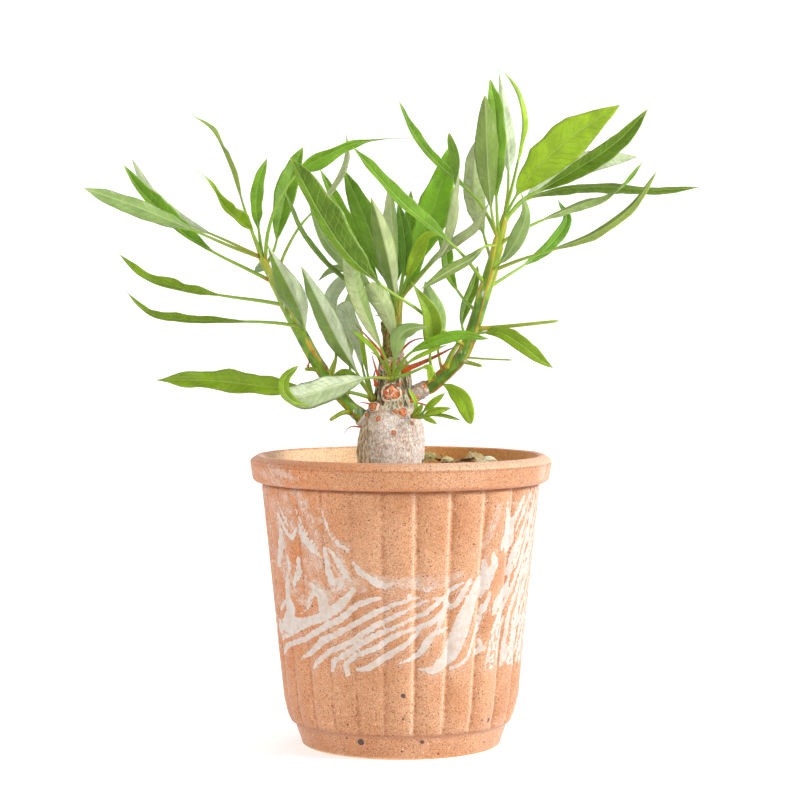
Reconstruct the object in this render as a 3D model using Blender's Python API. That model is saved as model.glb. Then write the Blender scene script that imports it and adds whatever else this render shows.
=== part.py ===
"""Potted Fouquieria purpusii: a ribbed clay pot, its soil, the woody caudex and its leafy stems."""

import math
import random
from collections import namedtuple

import bmesh
import bpy
from mathutils import Matrix, Vector

MM = 0.001

# Driving dimensions, in millimetres
RIM_DIAMETER = 100.0
POT_HEIGHT = 96.2
RIM_BAND_HEIGHT = 9.8
FOOT_DIAMETER = 66.0
FLOOR_THICKNESS = 5.0
RIB_COUNT = 25
RIB_DEPTH = 1.15
RIB_FADE_LOW = 5.8
RIB_FADE_HIGH = 12.0
POINTS_PER_RIB = 4
DRAIN_HOLES = 3
DRAIN_RADIUS = 3.5
DRAIN_CIRCLE = 15.0
SOIL_LEVEL = 88.6
SOIL_MOUND = 1.6
SOIL_GRAIN = 0.35
SOIL_SIDES = 48
SEAT_GAP = 0.3
BLADE_THICKNESS = 0.64
PETIOLE_RADIUS = 0.55
TIP_RADIUS = 0.32
FLATTEN_OVER = 1.2
MARGIN_RIPPLES = 21
SPUR_RADIUS = 1.5
SEED = 7

# The ribs were cut by hand, so they are a little wider on one side than on the other
FIRST_CREASE_DEG = 9.8
RIB_DRIFT = 0.21
RIB_DRIFT_DEG = 40.0

# The viewpoint from which the stems and leaves were laid out: a picture of 800 x 800 points whose
# upright plane through the pot's axis is seen square on. Leaf places are picture points with a depth
# in millimetres behind that plane, and seen() turns them into places in the part's frame.
EYE_DISTANCE = 811.7
EYE_HEIGHT = 147.1
EYE_TILT_DEG = 2.33
FOCAL_POINTS = 2450.0
PICTURE_CENTRE = (401.0, 400.0)

Leaf = namedtuple("Leaf", "root bends tip width roll petiole fold wave widest twist")


def leaf(root, bends, tip, width, roll, petiole=0.3, fold=16, wave=0.0, widest=0.5, twist=0):
    """One leaf: its route in the picture, and its blade's width in mm, turn, fold and margin wave."""
    return Leaf(root, bends, tip, width, roll, petiole, fold, wave, widest, twist)


# Routes of the stems: picture x, picture y, depth in mm, and the stem's radius in mm
LEFT_STEM = [
    (352, 408, -2.5, 2.1), (336, 390, -3.5, 2.15), (320, 367, -4.5, 2.2), (306, 343, -5.5, 2.1),
    (293, 318, -6, 1.95), (281, 295, -6, 1.6), (270, 273, -5.5, 1.2), (262, 257, -5, 0.9),
]
MIDDLE_STEM = [(397, 346, 4.5, 1.7), (397, 330, 5, 1.6), (397, 312, 5.5, 1.4), (399, 297, 6, 1.0)]
RIGHT_STEM = [
    (432, 385, 0, 2.3), (447, 372, -1, 2.35), (461, 357, -2, 2.3), (469, 340, -3, 2.2),
    (477, 317, -4, 2.2), (484, 293, -4, 2.15), (491, 270, -4, 2.0), (497, 247, -4, 1.7),
    (501, 230, -4, 1.3), (505, 214, -4, 0.8),
]

LEFT_LEAVES = [
    leaf((262, 258, -5), [(232, 247, -7), (195, 231, -10), (150, 212, -14), (115, 199, -17)],
         (84, 188, -19), 8.2, 188, 0.42, 14, 0.5, 0.45),
    leaf((269, 280, -5), [(245, 268, -2), (215, 253, 2), (185, 234, 5), (155, 206, 6), (136, 185, 6)],
         (124, 165, 5), 7.6, 35, 0.34, 38, 0.0, 0.5),
    leaf((263, 258, -5), [(225, 240, 6), (185, 222, 13), (160, 204, 18), (146, 186, 21)],
         (132, 159, 23), 6.5, 180, 0.36),
    leaf((260, 254, -5), [(250, 226, -8), (240, 195, -12), (230, 165, -15), (214, 132, -18)],
         (191, 114, -21), 5.2, 118, 0.3, 26, 0.0, 0.5, -60),
    leaf((264, 262, -5), [(250, 240, -11), (237, 221, -17), (224, 200, -22), (211, 183, -25)],
         (197, 170, -27), 7.4, 150, 0.22, 24, 0.0, 0.3),
    leaf((262, 256, -5), [(259, 232, -9), (256, 208, -14), (258, 182, -18)],
         (267, 158, -20), 4.6, 25, 0.26, 14, 0.3, 0.5),
    leaf((266, 266, -5), [(275, 247, 3), (279, 225, 9), (285, 197, 14), (293, 170, 17)],
         (303, 147, 19), 8.4, 0, 0.28),
    leaf((265, 262, -5), [(268, 232, -10), (279, 200, -14), (300, 171, -16), (330, 154, -16),
         (352, 144, -14), (384, 139, -12)], (417, 138, -10), 7.6, 28, 0.36, 20, 0.4, 0.25),
    leaf((275, 283, -6), [(284, 255, 3), (298, 229, 9), (313, 211, 13), (330, 190, 16), (344, 162, 18)],
         (347, 133, 20), 5.6, 105, 0.4, 24),
    leaf((306, 345, -5), [(304, 325, -11), (299, 306, -17), (288, 284, -24), (276, 262, -29)],
         (266, 242, -33), 10.4, 182, 0.18, 24, 0.0, 0.45),
    leaf((284, 305, -6), [(262, 301, -4), (225, 296, -1), (185, 289, 2), (145, 276, 5)],
         (119, 254, 7), 5.8, 42, 0.35, 18, 0.3),
    leaf((308, 347, -5), [(316, 333, -10), (300, 326, -14), (262, 322, -15), (205, 321, -14),
         (160, 317, -12), (140, 306, -11)], (127, 292, -10), 4.6, 55, 0.36, 20),
    leaf((271, 275, -5), [(268, 269, 6)], (256, 266, 26), 6.0, 0, 0.3),
    leaf((331, 381, -4), [(336, 356, 4), (333, 325, 12), (331, 298, 17), (345, 278, 19)],
         (362, 262, 20), 5.0, 180, 0.4),
    leaf((346, 401, -3), [(350, 380, 4), (349, 355, 11), (344, 325, 18)],
         (350, 290, 24), 5.6, 20, 0.36),
]
MIDDLE_LEAVES = [
    leaf((397, 318, 5), [(394, 292, -3), (388, 258, -10), (379, 222, -15)],
         (371, 197, -18), 8.8, 182, 0.2, 30, 0.0, 0.45),
    leaf((397, 308, 5), [(396, 280, 2), (393, 245, 0), (391, 212, -1)],
         (390, 184, -2), 6.0, 195, 0.25, 34),
    leaf((397, 314, 5), [(383, 270, 12), (370, 232, 17), (356, 197, 21)],
         (344, 170, 23), 9.0, 8, 0.22, 14, 0.3),
    leaf((397, 318, 5), [(376, 278, 15), (356, 238, 24), (338, 205, 30)],
         (320, 169, 34), 6.0, 25, 0.24),
    leaf((397, 323, 5), [(372, 290, 2), (345, 262, 1), (326, 240, 1)],
         (309, 203, 1), 5.6, 158, 0.24),
    leaf((397, 328, 5), [(372, 302, -2), (345, 280, -5), (320, 257, -6), (300, 228, -5)],
         (284, 190, -4), 3.8, 60, 0.3),
    leaf((398, 305, 6), [(404, 265, 16), (409, 230, 24)], (411, 190, 30), 5.2, 18, 0.3),
    leaf((398, 304, 6), [(404, 272, 6), (405, 240, 6)], (398, 203, 5), 5.4, 10, 0.25),
    leaf((398, 306, 6), [(396, 272, 22), (400, 245, 32)], (404, 226, 40), 6.2, 5, 0.3),
    leaf((398, 302, 6), [(408, 275, 0), (418, 250, -3), (427, 236, -6)],
         (438, 235, -8), 5.0, 168, 0.3),
    leaf((398, 303, 6), [(410, 280, 10), (418, 262, 12)], (424, 240, 13), 3.6, 15, 0.25),
    leaf((399, 300, 6), [(414, 262, 17), (428, 225, 23), (441, 185, 26)],
         (450, 146, 28), 11.0, 4, 0.22, 10, 0.5, 0.5),
    leaf((398, 301, 6), [(424, 272, 4), (446, 245, 1), (456, 208, -1), (458, 168, -3)],
         (449, 133, -5), 5.8, 214, 0.25, 24, 0.0, 0.6, 120),
    leaf((398, 303, 6), [(425, 268, 9), (452, 243, 5), (474, 227, -1)],
         (489, 203, -4.5), 4.2, 150, 0.3),
    leaf((397, 322, 5), [(374, 294, 9), (350, 271, 13), (331, 271, 16)],
         (318, 281, 18), 3.2, 150, 0.35),
]
RIGHT_LEAVES = [
    leaf((498, 242, -4), [(492, 215, -9), (489, 185, -13), (488, 145, -17), (489, 108, -20)],
         (490, 79, -22), 9.2, 182, 0.24, 26, 0.0, 0.55),
    leaf((504, 219, -4), [(508, 190, 2), (508, 160, 6), (505, 130, 9), (502, 98, 11)],
         (498, 66, 12), 6.2, 180, 0.34, 14, 0.6, 0.32),
    leaf((504, 217, -4), [(513, 183, -5), (520, 150, -6), (523, 120, -7), (517, 93, -7)],
         (504, 71, -6), 4.8, 62, 0.35, 26),
    leaf((503, 220, -4), [(520, 190, -10), (545, 160, -17), (580, 131, -22)],
         (620, 105, -26), 12.2, 0, 0.2, 6, 0.5, 0.45),
    leaf((503, 223, -4), [(522, 200, -3), (548, 186, -3), (582, 166, -4), (618, 141, -5)],
         (648, 109, -6), 7.2, 28, 0.26, 26, 0.0, 0.5),
    leaf((503, 222, -4), [(535, 190, 7), (565, 170, 12), (600, 160, 16)],
         (637, 157, 19), 8.0, 182, 0.24, 12, 0.5),
    leaf((502, 227, -4), [(517, 206, 2), (538, 195, 6), (570, 188, 8), (610, 187, 9), (655, 190, 9)],
         (701, 187, 8), 5.2, 48, 0.2, 18),
    leaf((491, 272, -4), [(507, 255, -13), (520, 232, -21), (526, 212, -26)],
         (521, 192, -29), 6.2, 178, 0.16, 24, 0.0, 0.42),
    leaf((498, 248, -4), [(507, 239, -5), (536, 223, -2), (575, 207, 1), (615, 191, 3)],
         (643, 162, 5), 4.4, 132, 0.3, 20),
    leaf((492, 271, -4), [(520, 260, -7), (555, 249, -10), (595, 234, -12), (632, 207, -13)],
         (657, 171, -13), 4.8, 152, 0.3, 16),
    leaf((485, 290, -4), [(510, 274, 2), (530, 261, 8), (552, 243, 12), (567, 220, 15)],
         (558, 200, 18), 5.4, 15, 0.36),
    leaf((485, 284, -4), [(462, 254, -14), (435, 230, -20), (405, 205, -24), (378, 176, -25)],
         (352, 146, -25), 7.0, 22, 0.3, 12),
    leaf((499, 240, -4), [(482, 206, 2), (460, 183, 6), (438, 163, 10), (415, 135, 13)],
         (399, 101, 15), 4.8, 40, 0.34),
    leaf((492, 264, -4), [(482, 228, 8), (474, 195, 15), (475, 160, 20)],
         (484, 128, 24), 8.2, 178, 0.26),
    leaf((497, 246, -4), [(486, 246, -11), (470, 259, -15), (447, 272, -17)],
         (421, 289, -18), 4.0, 158, 0.25),
    leaf((479, 314, -4), [(462, 297, 4), (449, 274, 10), (446, 250, 14)],
         (436, 228, 17), 5.4, 14, 0.36),
    leaf((469, 343, -3), [(462, 325, 4), (466, 305, 9), (473, 287, 12)],
         (478, 265, 14), 5.8, 178, 0.26),
    leaf((475, 333, -4), [(500, 333, -9), (520, 344, -13), (538, 358, -15)],
         (553, 368, -16), 5.8, -22, 0.1, 14, 0.0, 0.5),
    leaf((438, 381, 0), [(452, 390, -5), (464, 402, -8)], (471, 424, -10), 5.6, 0, 0.12, 10, 0.0, 0.6),
    leaf((466, 347, -3), [(441, 329, -13), (417, 309, -20), (385, 288, -25), (350, 257, -28),
         (325, 222, -29), (305, 186, -29)], (290, 157, -28), 9.0, 10, 0.42, 14, 0.0, 0.5),
    leaf((436, 381, 0), [(430, 360, -11), (432, 335, -17), (429, 312, -20)],
         (411, 281, -22), 7.2, 10, 0.22, 14, 0.0, 0.4),
    leaf((443, 375, -1), [(441, 350, -7), (441, 320, -10)], (431, 284, -12), 5.0, 176, 0.2),
]
FRONT_LEAVES = [
    leaf((392, 378, -7.35), [(365, 378, -15), (343, 385, -21), (320, 392, -25), (299, 394, -28),
         (287, 385, -30)], (297, 367, -31), 8.2, 180, 0.28, 12, 0.3, 0.52, 110),
    leaf((392, 377, -7.35), [(383, 352, -15), (370, 325, -20), (358, 295, -22), (350, 262, -20)],
         (348, 232, -19), 7.8, 184, 0.22, 30, 0.0, 0.4),
    leaf((392, 377, -7.35), [(395, 350, -12), (391, 325, -16), (382, 302, -18)],
         (368, 284, -17), 6.6, 184, 0.25, 20, 0.0, 0.6),
    leaf((393, 377, -7.35), [(396, 352, -17), (402, 336, -22), (412, 328, -26)],
         (430, 327, -29), 6.6, 10, 0.25, 20, 0.0, 0.4),
    leaf((393, 377, -7.35), [(408, 355, -15), (428, 344, -21), (458, 335, -26)],
         (489, 339, -30), 5.0, 18, 0.3, 14),
    leaf((393, 378, -7.35), [(412, 373, -12)], (430, 365, -15), 1.8, 20, 0.3),
    leaf((391, 377, -7.35), [(378, 355, -11), (366, 341, -11)], (351, 330, -10), 1.8, 20, 0.3),
    leaf((393, 377, -7.35), [(408, 363, -13), (425, 353, -17)], (447, 345, -19), 2.6, 30, 0.3),
]
SIDE_LEAVES = [
    leaf((366, 397, -1.5), [(353, 366, -10), (337, 338, -16), (319, 302, -21)],
         (301, 266, -25), 8.8, 184, 0.22, 24, 0.0, 0.5),
    leaf((366, 397, -1.5), [(345, 389, -8), (310, 389, -9), (270, 387, -10), (215, 381, -11)],
         (156, 380, -12), 7.8, 20, 0.3, 22, 0.7, 0.5),
    leaf((366, 397, -1.5), [(358, 382, -6), (350, 375, -8), (341, 374, -9)],
         (327, 383, -9.5), 3.2, 35, 0.3),
    leaf((366, 397, -1.5), [(362, 372, 5), (358, 345, 8), (350, 322, 8)],
         (342, 302, 12), 6.2, 5, 0.3, 10, 0.0, 0.72),
    leaf((367, 396, -1.5), [(366, 376, 0), (363, 350, 0)], (361, 326, 0), 1.8, 20, 0.3),
]
SPROUT_LEAVES = [
    leaf((412, 417, -8), [(416, 404, -11)], (408, 388, -12), 1.6, 20, 0.2),
    leaf((414, 417, -8.5), [(418, 411, -12)], (423, 404, -14), 2.2, 0, 0.2),
    leaf((419, 417, -9), [(430, 405, -12)], (445, 393, -14), 2.4, 10, 0.2),
    leaf((420, 417, -9), [(434, 411, -14)], (451, 408, -17), 2.6, 15, 0.15),
    leaf((420, 417, -9), [(440, 415, -10)], (461, 420, -11), 1.5, 20, 0.2),
    leaf((419, 417, -9), [(428, 419, -13)], (437, 424, -16), 1.8, 0, 0.2),
]
SPROUT_STEM = [(411, 416, -8.2, 0.8), (420, 417, -9, 0.7)]

# Spines: the wood's own, as root, bend and tip in the picture, and the radius at the root in mm
CAUDEX_SPINES = [
    ((402, 371, -4), (428, 361, -7), (455, 345, -9), 0.55),
    ((398, 354, 3), (412, 341, -4), (431, 337, -8), 0.5),
    ((386, 361, -3), (374, 346, -6), (361, 334, -8), 0.5),
    ((381, 364, -1), (377, 356, -4), (370, 351, -5), 0.45),
    ((373, 405, -4), (366, 403, -8), (358, 402, -10), 0.4),
    ((362, 427, -2), (350, 427, -5), (342, 436, -6), 0.4),
    ((408, 400, -3), (436, 409, -8), (435, 419, -9), 0.4),
]
LEFT_SPINES = [
    ((322, 371, -4), (314, 371, -6), (304, 368, -8), 0.6),
    ((345, 402, -3), (340, 413, -6), (329, 420, -8), 0.55),
    ((326, 374, -4), (327, 369, -6), (327, 364, -8), 0.4),
]
RIGHT_SPINES = [
    ((477, 329, -4), (520, 325, -8), (558, 321, -10), 0.75),
    ((461, 357, -2), (488, 359, -5), (512, 360, -7), 0.4),
    ((457, 360, -2), (470, 363, -4), (482, 366, -5), 0.85),
    ((447, 370, -2), (441, 365, -5), (438, 359, -7), 0.45),
]
BLUNT_SPINES = (0, 2)
MIDDLE_SPINES = [((397, 318, 5), (384, 317, 1), (371, 314, -2), 0.4)]

# The caudex: picture y, picture x of its middle, and its radius in mm
CAUDEX_RINGS = [
    (472, 391.5, 10.6), (460, 391.5, 11.2), (442, 391.5, 11.1), (430, 392, 10.7), (420, 392, 9.8),
    (412, 392, 8.6), (404, 392, 7.2), (394, 392.5, 6.2), (382, 393.5, 5.7), (370, 393.5, 5.4),
    (362, 393, 4.6), (357, 393, 3.4),
]
TAPROOT_RINGS = [(30, -2.5, 1.0), (48, -2.6, 4.0), (66, -2.8, 7.4), (80, -3.0, 9.8)]
CAUDEX_SIDES = 20
LEFT_SHOULDER = [(384, 428, 0, 3.6), (370, 422, -1, 3.6), (361, 416, -1.8, 2.7)]
RIGHT_SHOULDER = [(398, 398, 0.5, 3.0), (412, 393, 0.5, 2.7), (424, 388, 0.2, 2.5)]
MIDDLE_SHOULDER = [(393, 374, 1, 3.6), (396, 360, 3.5, 2.5), (397, 351, 4.3, 1.9)]
DEAD_STUB = [(389, 366, -1, 2.4), (388, 350, -1, 2.1), (386, 335, -1, 1.5), (385, 321, -1, 0.5)]
# Bud scars: picture x and y, and the radius of the bump in mm
BUD_SCARS = [(392, 395, 2.5), (401, 412, 1.7), (374, 405, 1.6), (378, 418, 1.3), (395, 433, 0.9)]


def seen(px, py, depth):
    """The place, in mm, that shows at picture point (px, py) at a depth behind the pot's axis."""
    tilt = math.radians(EYE_TILT_DEG)
    forward = Vector((0, math.cos(tilt), -math.sin(tilt)))
    up = Vector((0, math.sin(tilt), math.cos(tilt)))
    ray = forward + Vector((1, 0, 0)) * (px - PICTURE_CENTRE[0]) / FOCAL_POINTS
    ray += up * (PICTURE_CENTRE[1] - py) / FOCAL_POINTS
    return Vector((0, -EYE_DISTANCE, EYE_HEIGHT)) + ray * (depth + EYE_DISTANCE) / ray.y


def material(name, colour, roughness):
    """A Principled material of one colour."""
    made = bpy.data.materials.new(name)
    made.use_nodes = True
    shader = made.node_tree.nodes["Principled BSDF"]
    shader.inputs["Base Color"].default_value = (*colour, 1)
    shader.inputs["Roughness"].default_value = roughness
    return made


def new_object(name, shape, collection=None):
    """An object in metres from a bmesh in millimetres."""
    bmesh.ops.scale(shape, vec=(MM, MM, MM), verts=shape.verts)
    bmesh.ops.recalc_face_normals(shape, faces=shape.faces)
    mesh = bpy.data.meshes.new(name)
    shape.to_mesh(mesh)
    shape.free()
    obj = bpy.data.objects.new(name, mesh)
    (collection or bpy.context.scene.collection).objects.link(obj)
    return obj


def fuse(obj, shapes):
    """Joins closed shapes to the object with one Boolean union, which is applied."""
    group = bpy.data.collections.new(obj.name + "_repeats")
    bpy.context.scene.collection.children.link(group)
    for i, shape in enumerate(shapes):
        new_object(f"{obj.name}_repeat_{i}", shape, group)
    union = obj.modifiers.new("join_repeats", "BOOLEAN")
    union.operation = "UNION"
    union.operand_type = "COLLECTION"
    union.collection = group
    union.solver = "EXACT"
    bpy.context.view_layer.objects.active = obj
    bpy.ops.object.modifier_apply(modifier=union.name)
    for repeat in list(group.objects):
        bpy.data.objects.remove(repeat)
    bpy.data.collections.remove(group)


def finish(obj, made):
    """Gives the object its material and smooth shading, with sharp edges kept."""
    obj.data.materials.clear()
    obj.data.materials.append(made)
    obj.data.shade_smooth()
    obj.data.set_sharp_from_angle(angle=math.radians(40))


def skin(rings):
    """A bmesh of quads between successive rings of places, with a flat cap on each end."""
    made = bmesh.new()
    rows = [[made.verts.new(p) for p in ring] for ring in rings]
    for low, high in zip(rows, rows[1:]):
        for i in range(len(low)):
            j = (i + 1) % len(low)
            made.faces.new((low[i], low[j], high[j], high[i]))
    made.faces.new(rows[0])
    made.faces.new(rows[-1])
    return made


def level_ring(radius, height, sides, centre=(0, 0)):
    """A level ring of places round an upright line."""
    turns = [2 * math.pi * k / sides for k in range(sides)]
    return [Vector((centre[0] + radius * math.sin(a), centre[1] - radius * math.cos(a), height))
            for a in turns]


def ring_across(place, axis, radius, sides):
    """A ring of places round a centre, square to an axis."""
    turn = axis.to_track_quat("Z", "Y")
    turns = [2 * math.pi * k / sides for k in range(sides)]
    return [place + turn @ Vector((math.cos(a), math.sin(a), 0)) * radius for a in turns]


def along(points, i):
    """The direction of a route of places at its point i."""
    return (points[min(i + 1, len(points) - 1)] - points[max(i - 1, 0)]).normalized()


def tube(points, radii, sides, first_axis=None):
    """A tapered round tube along a route, its first end square to first_axis where that is given."""
    rings = []
    for i, (place, radius) in enumerate(zip(points, radii)):
        axis = first_axis if i == 0 and first_axis else along(points, i)
        rings.append(ring_across(place, axis, radius, sides))
    return skin(rings)


def branch(route, sides=10):
    """A tube along a route of picture places with radii."""
    return tube([seen(*p[:3]) for p in route], [p[3] for p in route], sides)


def seated_branch(shoulder, route, sides=10):
    """A tube that starts a seat gap off the end of its shoulder and goes on along its own route."""
    inner, end = seen(*shoulder[-2][:3]), seen(*shoulder[-1][:3])
    axis = (end - inner).normalized()
    points = [end + axis * SEAT_GAP] + [seen(*p[:3]) for p in route]
    radii = [shoulder[-1][3] * 0.98] + [p[3] for p in route]
    return tube(points, radii, sides, axis)


def smooth_route(points, count):
    """Evenly spaced places on a Catmull-Rom curve through the points."""
    steps = 12
    ends = [points[0] * 2 - points[1], *points, points[-1] * 2 - points[-2]]
    dense = []
    for a, b, c, d in zip(ends, ends[1:], ends[2:], ends[3:]):
        for t in (k / steps for k in range(steps)):
            bend = (2 * a - 5 * b + 4 * c - d) * t * t + (3 * b - a - 3 * c + d) * t ** 3
            dense.append((2 * b + (c - a) * t + bend) * 0.5)
    dense.append(points[-1].copy())
    run = [0.0]
    for a, b in zip(dense, dense[1:]):
        run.append(run[-1] + (b - a).length)
    places = []
    i = 0
    for want in (run[-1] * k / (count - 1) for k in range(count)):
        while i < len(dense) - 2 and run[i + 1] < want:
            i += 1
        share = (want - run[i]) / max(run[i + 1] - run[i], 1e-9)
        places.append(dense[i].lerp(dense[i + 1], min(share, 1.0)))
    return places


def spine(route, blunt=False):
    """A four-sided spine along a route that ends with its root's radius, or a cut stalk if blunt."""
    points = smooth_route([seen(*p) for p in route[:-1]], 4)
    taper = 0.25 if blunt else 0.7
    return tube(points, [route[-1] * (1 - taper * i / 3) for i in range(4)], 4)


def blade_share(t, widest):
    """Half the blade's width at t from base to tip, as a share of that at its widest place."""
    if not 0 < t < 1:
        return 0.0
    rise = 0.93
    fall = rise * (1 - widest) / widest
    return (t / widest) ** rise * ((1 - t) / (1 - widest)) ** fall


def leaf_shape(spec):
    """A closed leaf: a square stalk that widens into a folded blade of six-point sections."""
    count = 41
    stations = 4 if spec.width < 3 else 6 if spec.width < 6 else 8
    path = smooth_route([seen(*p) for p in (spec.root, *spec.bends, spec.tip)], count)
    shares = [0.0, spec.petiole * 0.55]
    shares += [spec.petiole + (1 - spec.petiole) * k / stations for k in range(stations + 1)]
    made = bmesh.new()
    rows = []
    for share in shares:
        spot = share * (count - 1)
        low = min(int(spot), count - 2)
        place = path[low].lerp(path[low + 1], spot - low)
        ahead = (path[min(low + 2, count - 1)] - path[max(low - 1, 0)]).normalized()
        facing = Vector((0, -1, 0.15 * abs(ahead.y)))
        facing = (facing - ahead * facing.dot(ahead)).normalized()
        t = max(0.0, (share - spec.petiole) / (1 - spec.petiole))
        turn = Matrix.Rotation(math.radians(spec.roll + spec.twist * t * t), 3, ahead)
        facing = turn @ facing
        across = ahead.cross(facing)
        thin = PETIOLE_RADIUS + (TIP_RADIUS - PETIOLE_RADIUS) * min(1.0, t * stations)
        half = max(thin, spec.width / 2 * blade_share(t, spec.widest))
        flat = min(1.0, max(0.0, (half - thin) / FLATTEN_OVER))
        thick = max(thin, PETIOLE_RADIUS * (1 - flat) + BLADE_THICKNESS / 2 * flat)
        fold = math.radians(spec.fold) * flat
        ripple = spec.wave * flat * math.sin(t * MARGIN_RIPPLES)
        x, z = half * math.cos(fold), half * math.sin(fold)
        rows.append([made.verts.new(place + across * u + facing * v) for u, v in (
            (-x, z + ripple + thick), (0, thick), (x, z - ripple + thick),
            (x, z - ripple - thick), (0, -thick), (-x, z + ripple - thick))])
    # Both faces of a blade are split along the same diagonals, so that they never cross
    diagonal_in = (False, True, True, False, True, True)
    for low, high in zip(rows, rows[1:]):
        for i in range(6):
            j = (i + 1) % 6
            if diagonal_in[i]:
                made.faces.new((low[i], low[j], high[i]))
                made.faces.new((low[j], high[j], high[i]))
            else:
                made.faces.new((low[i], low[j], high[j]))
                made.faces.new((low[i], high[j], high[i]))
    for row in (rows[0], rows[-1]):
        for a, b, c in ((0, 1, 5), (1, 4, 5), (1, 2, 4), (2, 3, 4)):
            made.faces.new((row[a], row[b], row[c]))
    return made


def knob(place, radius, height, facing):
    """A low round bump, set on a place and standing out along a direction."""
    made = bmesh.new()
    bmesh.ops.create_icosphere(made, subdivisions=1, radius=1)
    turn = facing.to_track_quat("Z", "Y").to_matrix()
    for vert in made.verts:
        vert.co = place + turn @ Vector((vert.co.x * radius, vert.co.y * radius, vert.co.z * height))
    return made


def rib_number(angle):
    """The running number of the rib at an angle from the front, whole at each crease."""
    drift = RIB_DRIFT * math.sin(2 * (angle + math.radians(RIB_DRIFT_DEG)))
    return RIB_COUNT * (angle - math.radians(FIRST_CREASE_DEG)) / (2 * math.pi) + drift


def rib_angle(number):
    """The angle from the front at which the ribs' running number is reached."""
    angle = 0.0
    for _ in range(20):
        angle += (number - rib_number(angle)) * 2 * math.pi / RIB_COUNT
    return angle


def pot_ring(radius, height, ribbed):
    """One level ring of the pot, pinched in at the creases between ribs where it is ribbed."""
    rise = (height - RIB_FADE_LOW) / (RIB_FADE_HIGH - RIB_FADE_LOW)
    depth = RIB_DEPTH * min(1.0, max(0.0, rise)) if ribbed else 0.0
    ring = []
    for k in range(RIB_COUNT * POINTS_PER_RIB):
        angle = rib_angle(k / POINTS_PER_RIB)
        r = radius - depth * (1 - abs(math.sin(math.pi * k / POINTS_PER_RIB)))
        ring.append(Vector((r * math.sin(angle), -r * math.cos(angle), height)))
    return ring


def pot_inside(height):
    """The inner wall's radius at a height."""
    base_height, base_radius = 12.0, 35.0
    top_height, top_radius = 86.0, 43.4
    share = (height - base_height) / (top_height - base_height)
    return base_radius + (top_radius - base_radius) * min(1.0, share)


def build_pot(clay):
    """The ribbed clay pot with its plain rim band and foot, and its drain holes."""
    foot, rim = FOOT_DIAMETER / 2, RIM_DIAMETER / 2
    band = POT_HEIGHT - RIM_BAND_HEIGHT
    outside = [(foot, 0), (foot + 1.2, 4.2), (foot + 2.7, 5.8), (foot + 5.0, 9.8),
               (foot + 6.1, 15.4), (42.3, 47.5), (46.2, band - 0.8)]
    lip = [(rim - 1.3, band), (rim, band + 1.8), (rim, POT_HEIGHT - 2.6),
           (rim - 3.0, POT_HEIGHT), (rim - 4.4, POT_HEIGHT - 0.7)]
    inside = [(pot_inside(86.0), 86.0), (pot_inside(12.0), 12.0), (31.0, FLOOR_THICKNESS)]
    rings = [pot_ring(r, z, True) for r, z in outside] + [pot_ring(r, z, False) for r, z in lip + inside]
    pot = new_object("pot", skin(rings))
    for k in range(DRAIN_HOLES):
        shape = bmesh.new()
        bmesh.ops.create_cone(shape, cap_ends=True, segments=16, radius1=DRAIN_RADIUS,
                              radius2=DRAIN_RADIUS, depth=4 * FLOOR_THICKNESS)
        cutter = new_object(f"drain_cutter_{k}", shape)
        angle = 2 * math.pi * k / DRAIN_HOLES
        cutter.location = Vector((math.sin(angle), math.cos(angle), 0)) * DRAIN_CIRCLE * MM
        cutter.hide_render = True
        cutter.display_type = "WIRE"
        cut = pot.modifiers.new(f"drain_{k}", "BOOLEAN")
        cut.operation = "DIFFERENCE"
        cut.object = cutter
        cut.solver = "EXACT"
    finish(pot, clay)


def caudex_rings():
    """The caudex's level rings as (height, middle x, radius), from the taproot's tip upwards."""
    trunk = []
    for py, px, radius in CAUDEX_RINGS:
        middle = seen(px, py, 0)
        trunk.append((middle.z, middle.x, radius))
    return TAPROOT_RINGS + trunk


def build_soil(earth):
    """The soil that fills the pot, with a plain hole that follows the taproot."""
    draw = random.Random(SEED)
    floor = FLOOR_THICKNESS + SEAT_GAP
    rings = [level_ring(31.0 - 2 * SEAT_GAP, floor, SOIL_SIDES)]
    for height in (12.0, SOIL_LEVEL - 1.5):
        rings.append(level_ring(pot_inside(height) - SEAT_GAP - 0.1, height, SOIL_SIDES))
    root = [ring for ring in caudex_rings() if ring[0] < SOIL_LEVEL + SOIL_MOUND]
    top_height, top_x, top_radius = root[-1]
    outer = pot_inside(SOIL_LEVEL) - SEAT_GAP - 0.4
    for share in (0.0, 0.25, 0.5, 0.75):
        radius = outer + (top_radius + SEAT_GAP - outer) * share
        ring = level_ring(radius, SOIL_LEVEL + SOIL_MOUND * share, SOIL_SIDES, (top_x * share, 0))
        for place in ring:
            place.z += draw.uniform(-SOIL_GRAIN, SOIL_GRAIN)
        rings.append(ring)
    for height, x, radius in [(SOIL_LEVEL + SOIL_MOUND, top_x, top_radius)] + root[::-1]:
        rings.append(level_ring(radius + SEAT_GAP + 0.1, height, SOIL_SIDES, (x, 0)))
    last = rings.pop()
    rings.append([place - Vector((0, 0, SEAT_GAP)) for place in last])
    finish(new_object("soil", skin(rings)), earth)


def on_caudex(px, py):
    """The place on the caudex's near side that shows at a picture point, and the way it faces."""
    rings = caudex_rings()
    place = seen(px, py, 0)
    for low, high in zip(rings, rings[1:]):
        if low[0] <= place.z <= high[0]:
            share = (place.z - low[0]) / (high[0] - low[0])
            middle = low[1] + (high[1] - low[1]) * share
            radius = low[2] + (high[2] - low[2]) * share
            slope = (low[2] - high[2]) / (high[0] - low[0])
    offset = max(-0.96 * radius, min(0.96 * radius, place.x - middle))
    depth = -math.sqrt(radius * radius - offset * offset)
    return seen(px, py, depth), Vector((offset, depth, slope * radius)).normalized()


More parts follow.
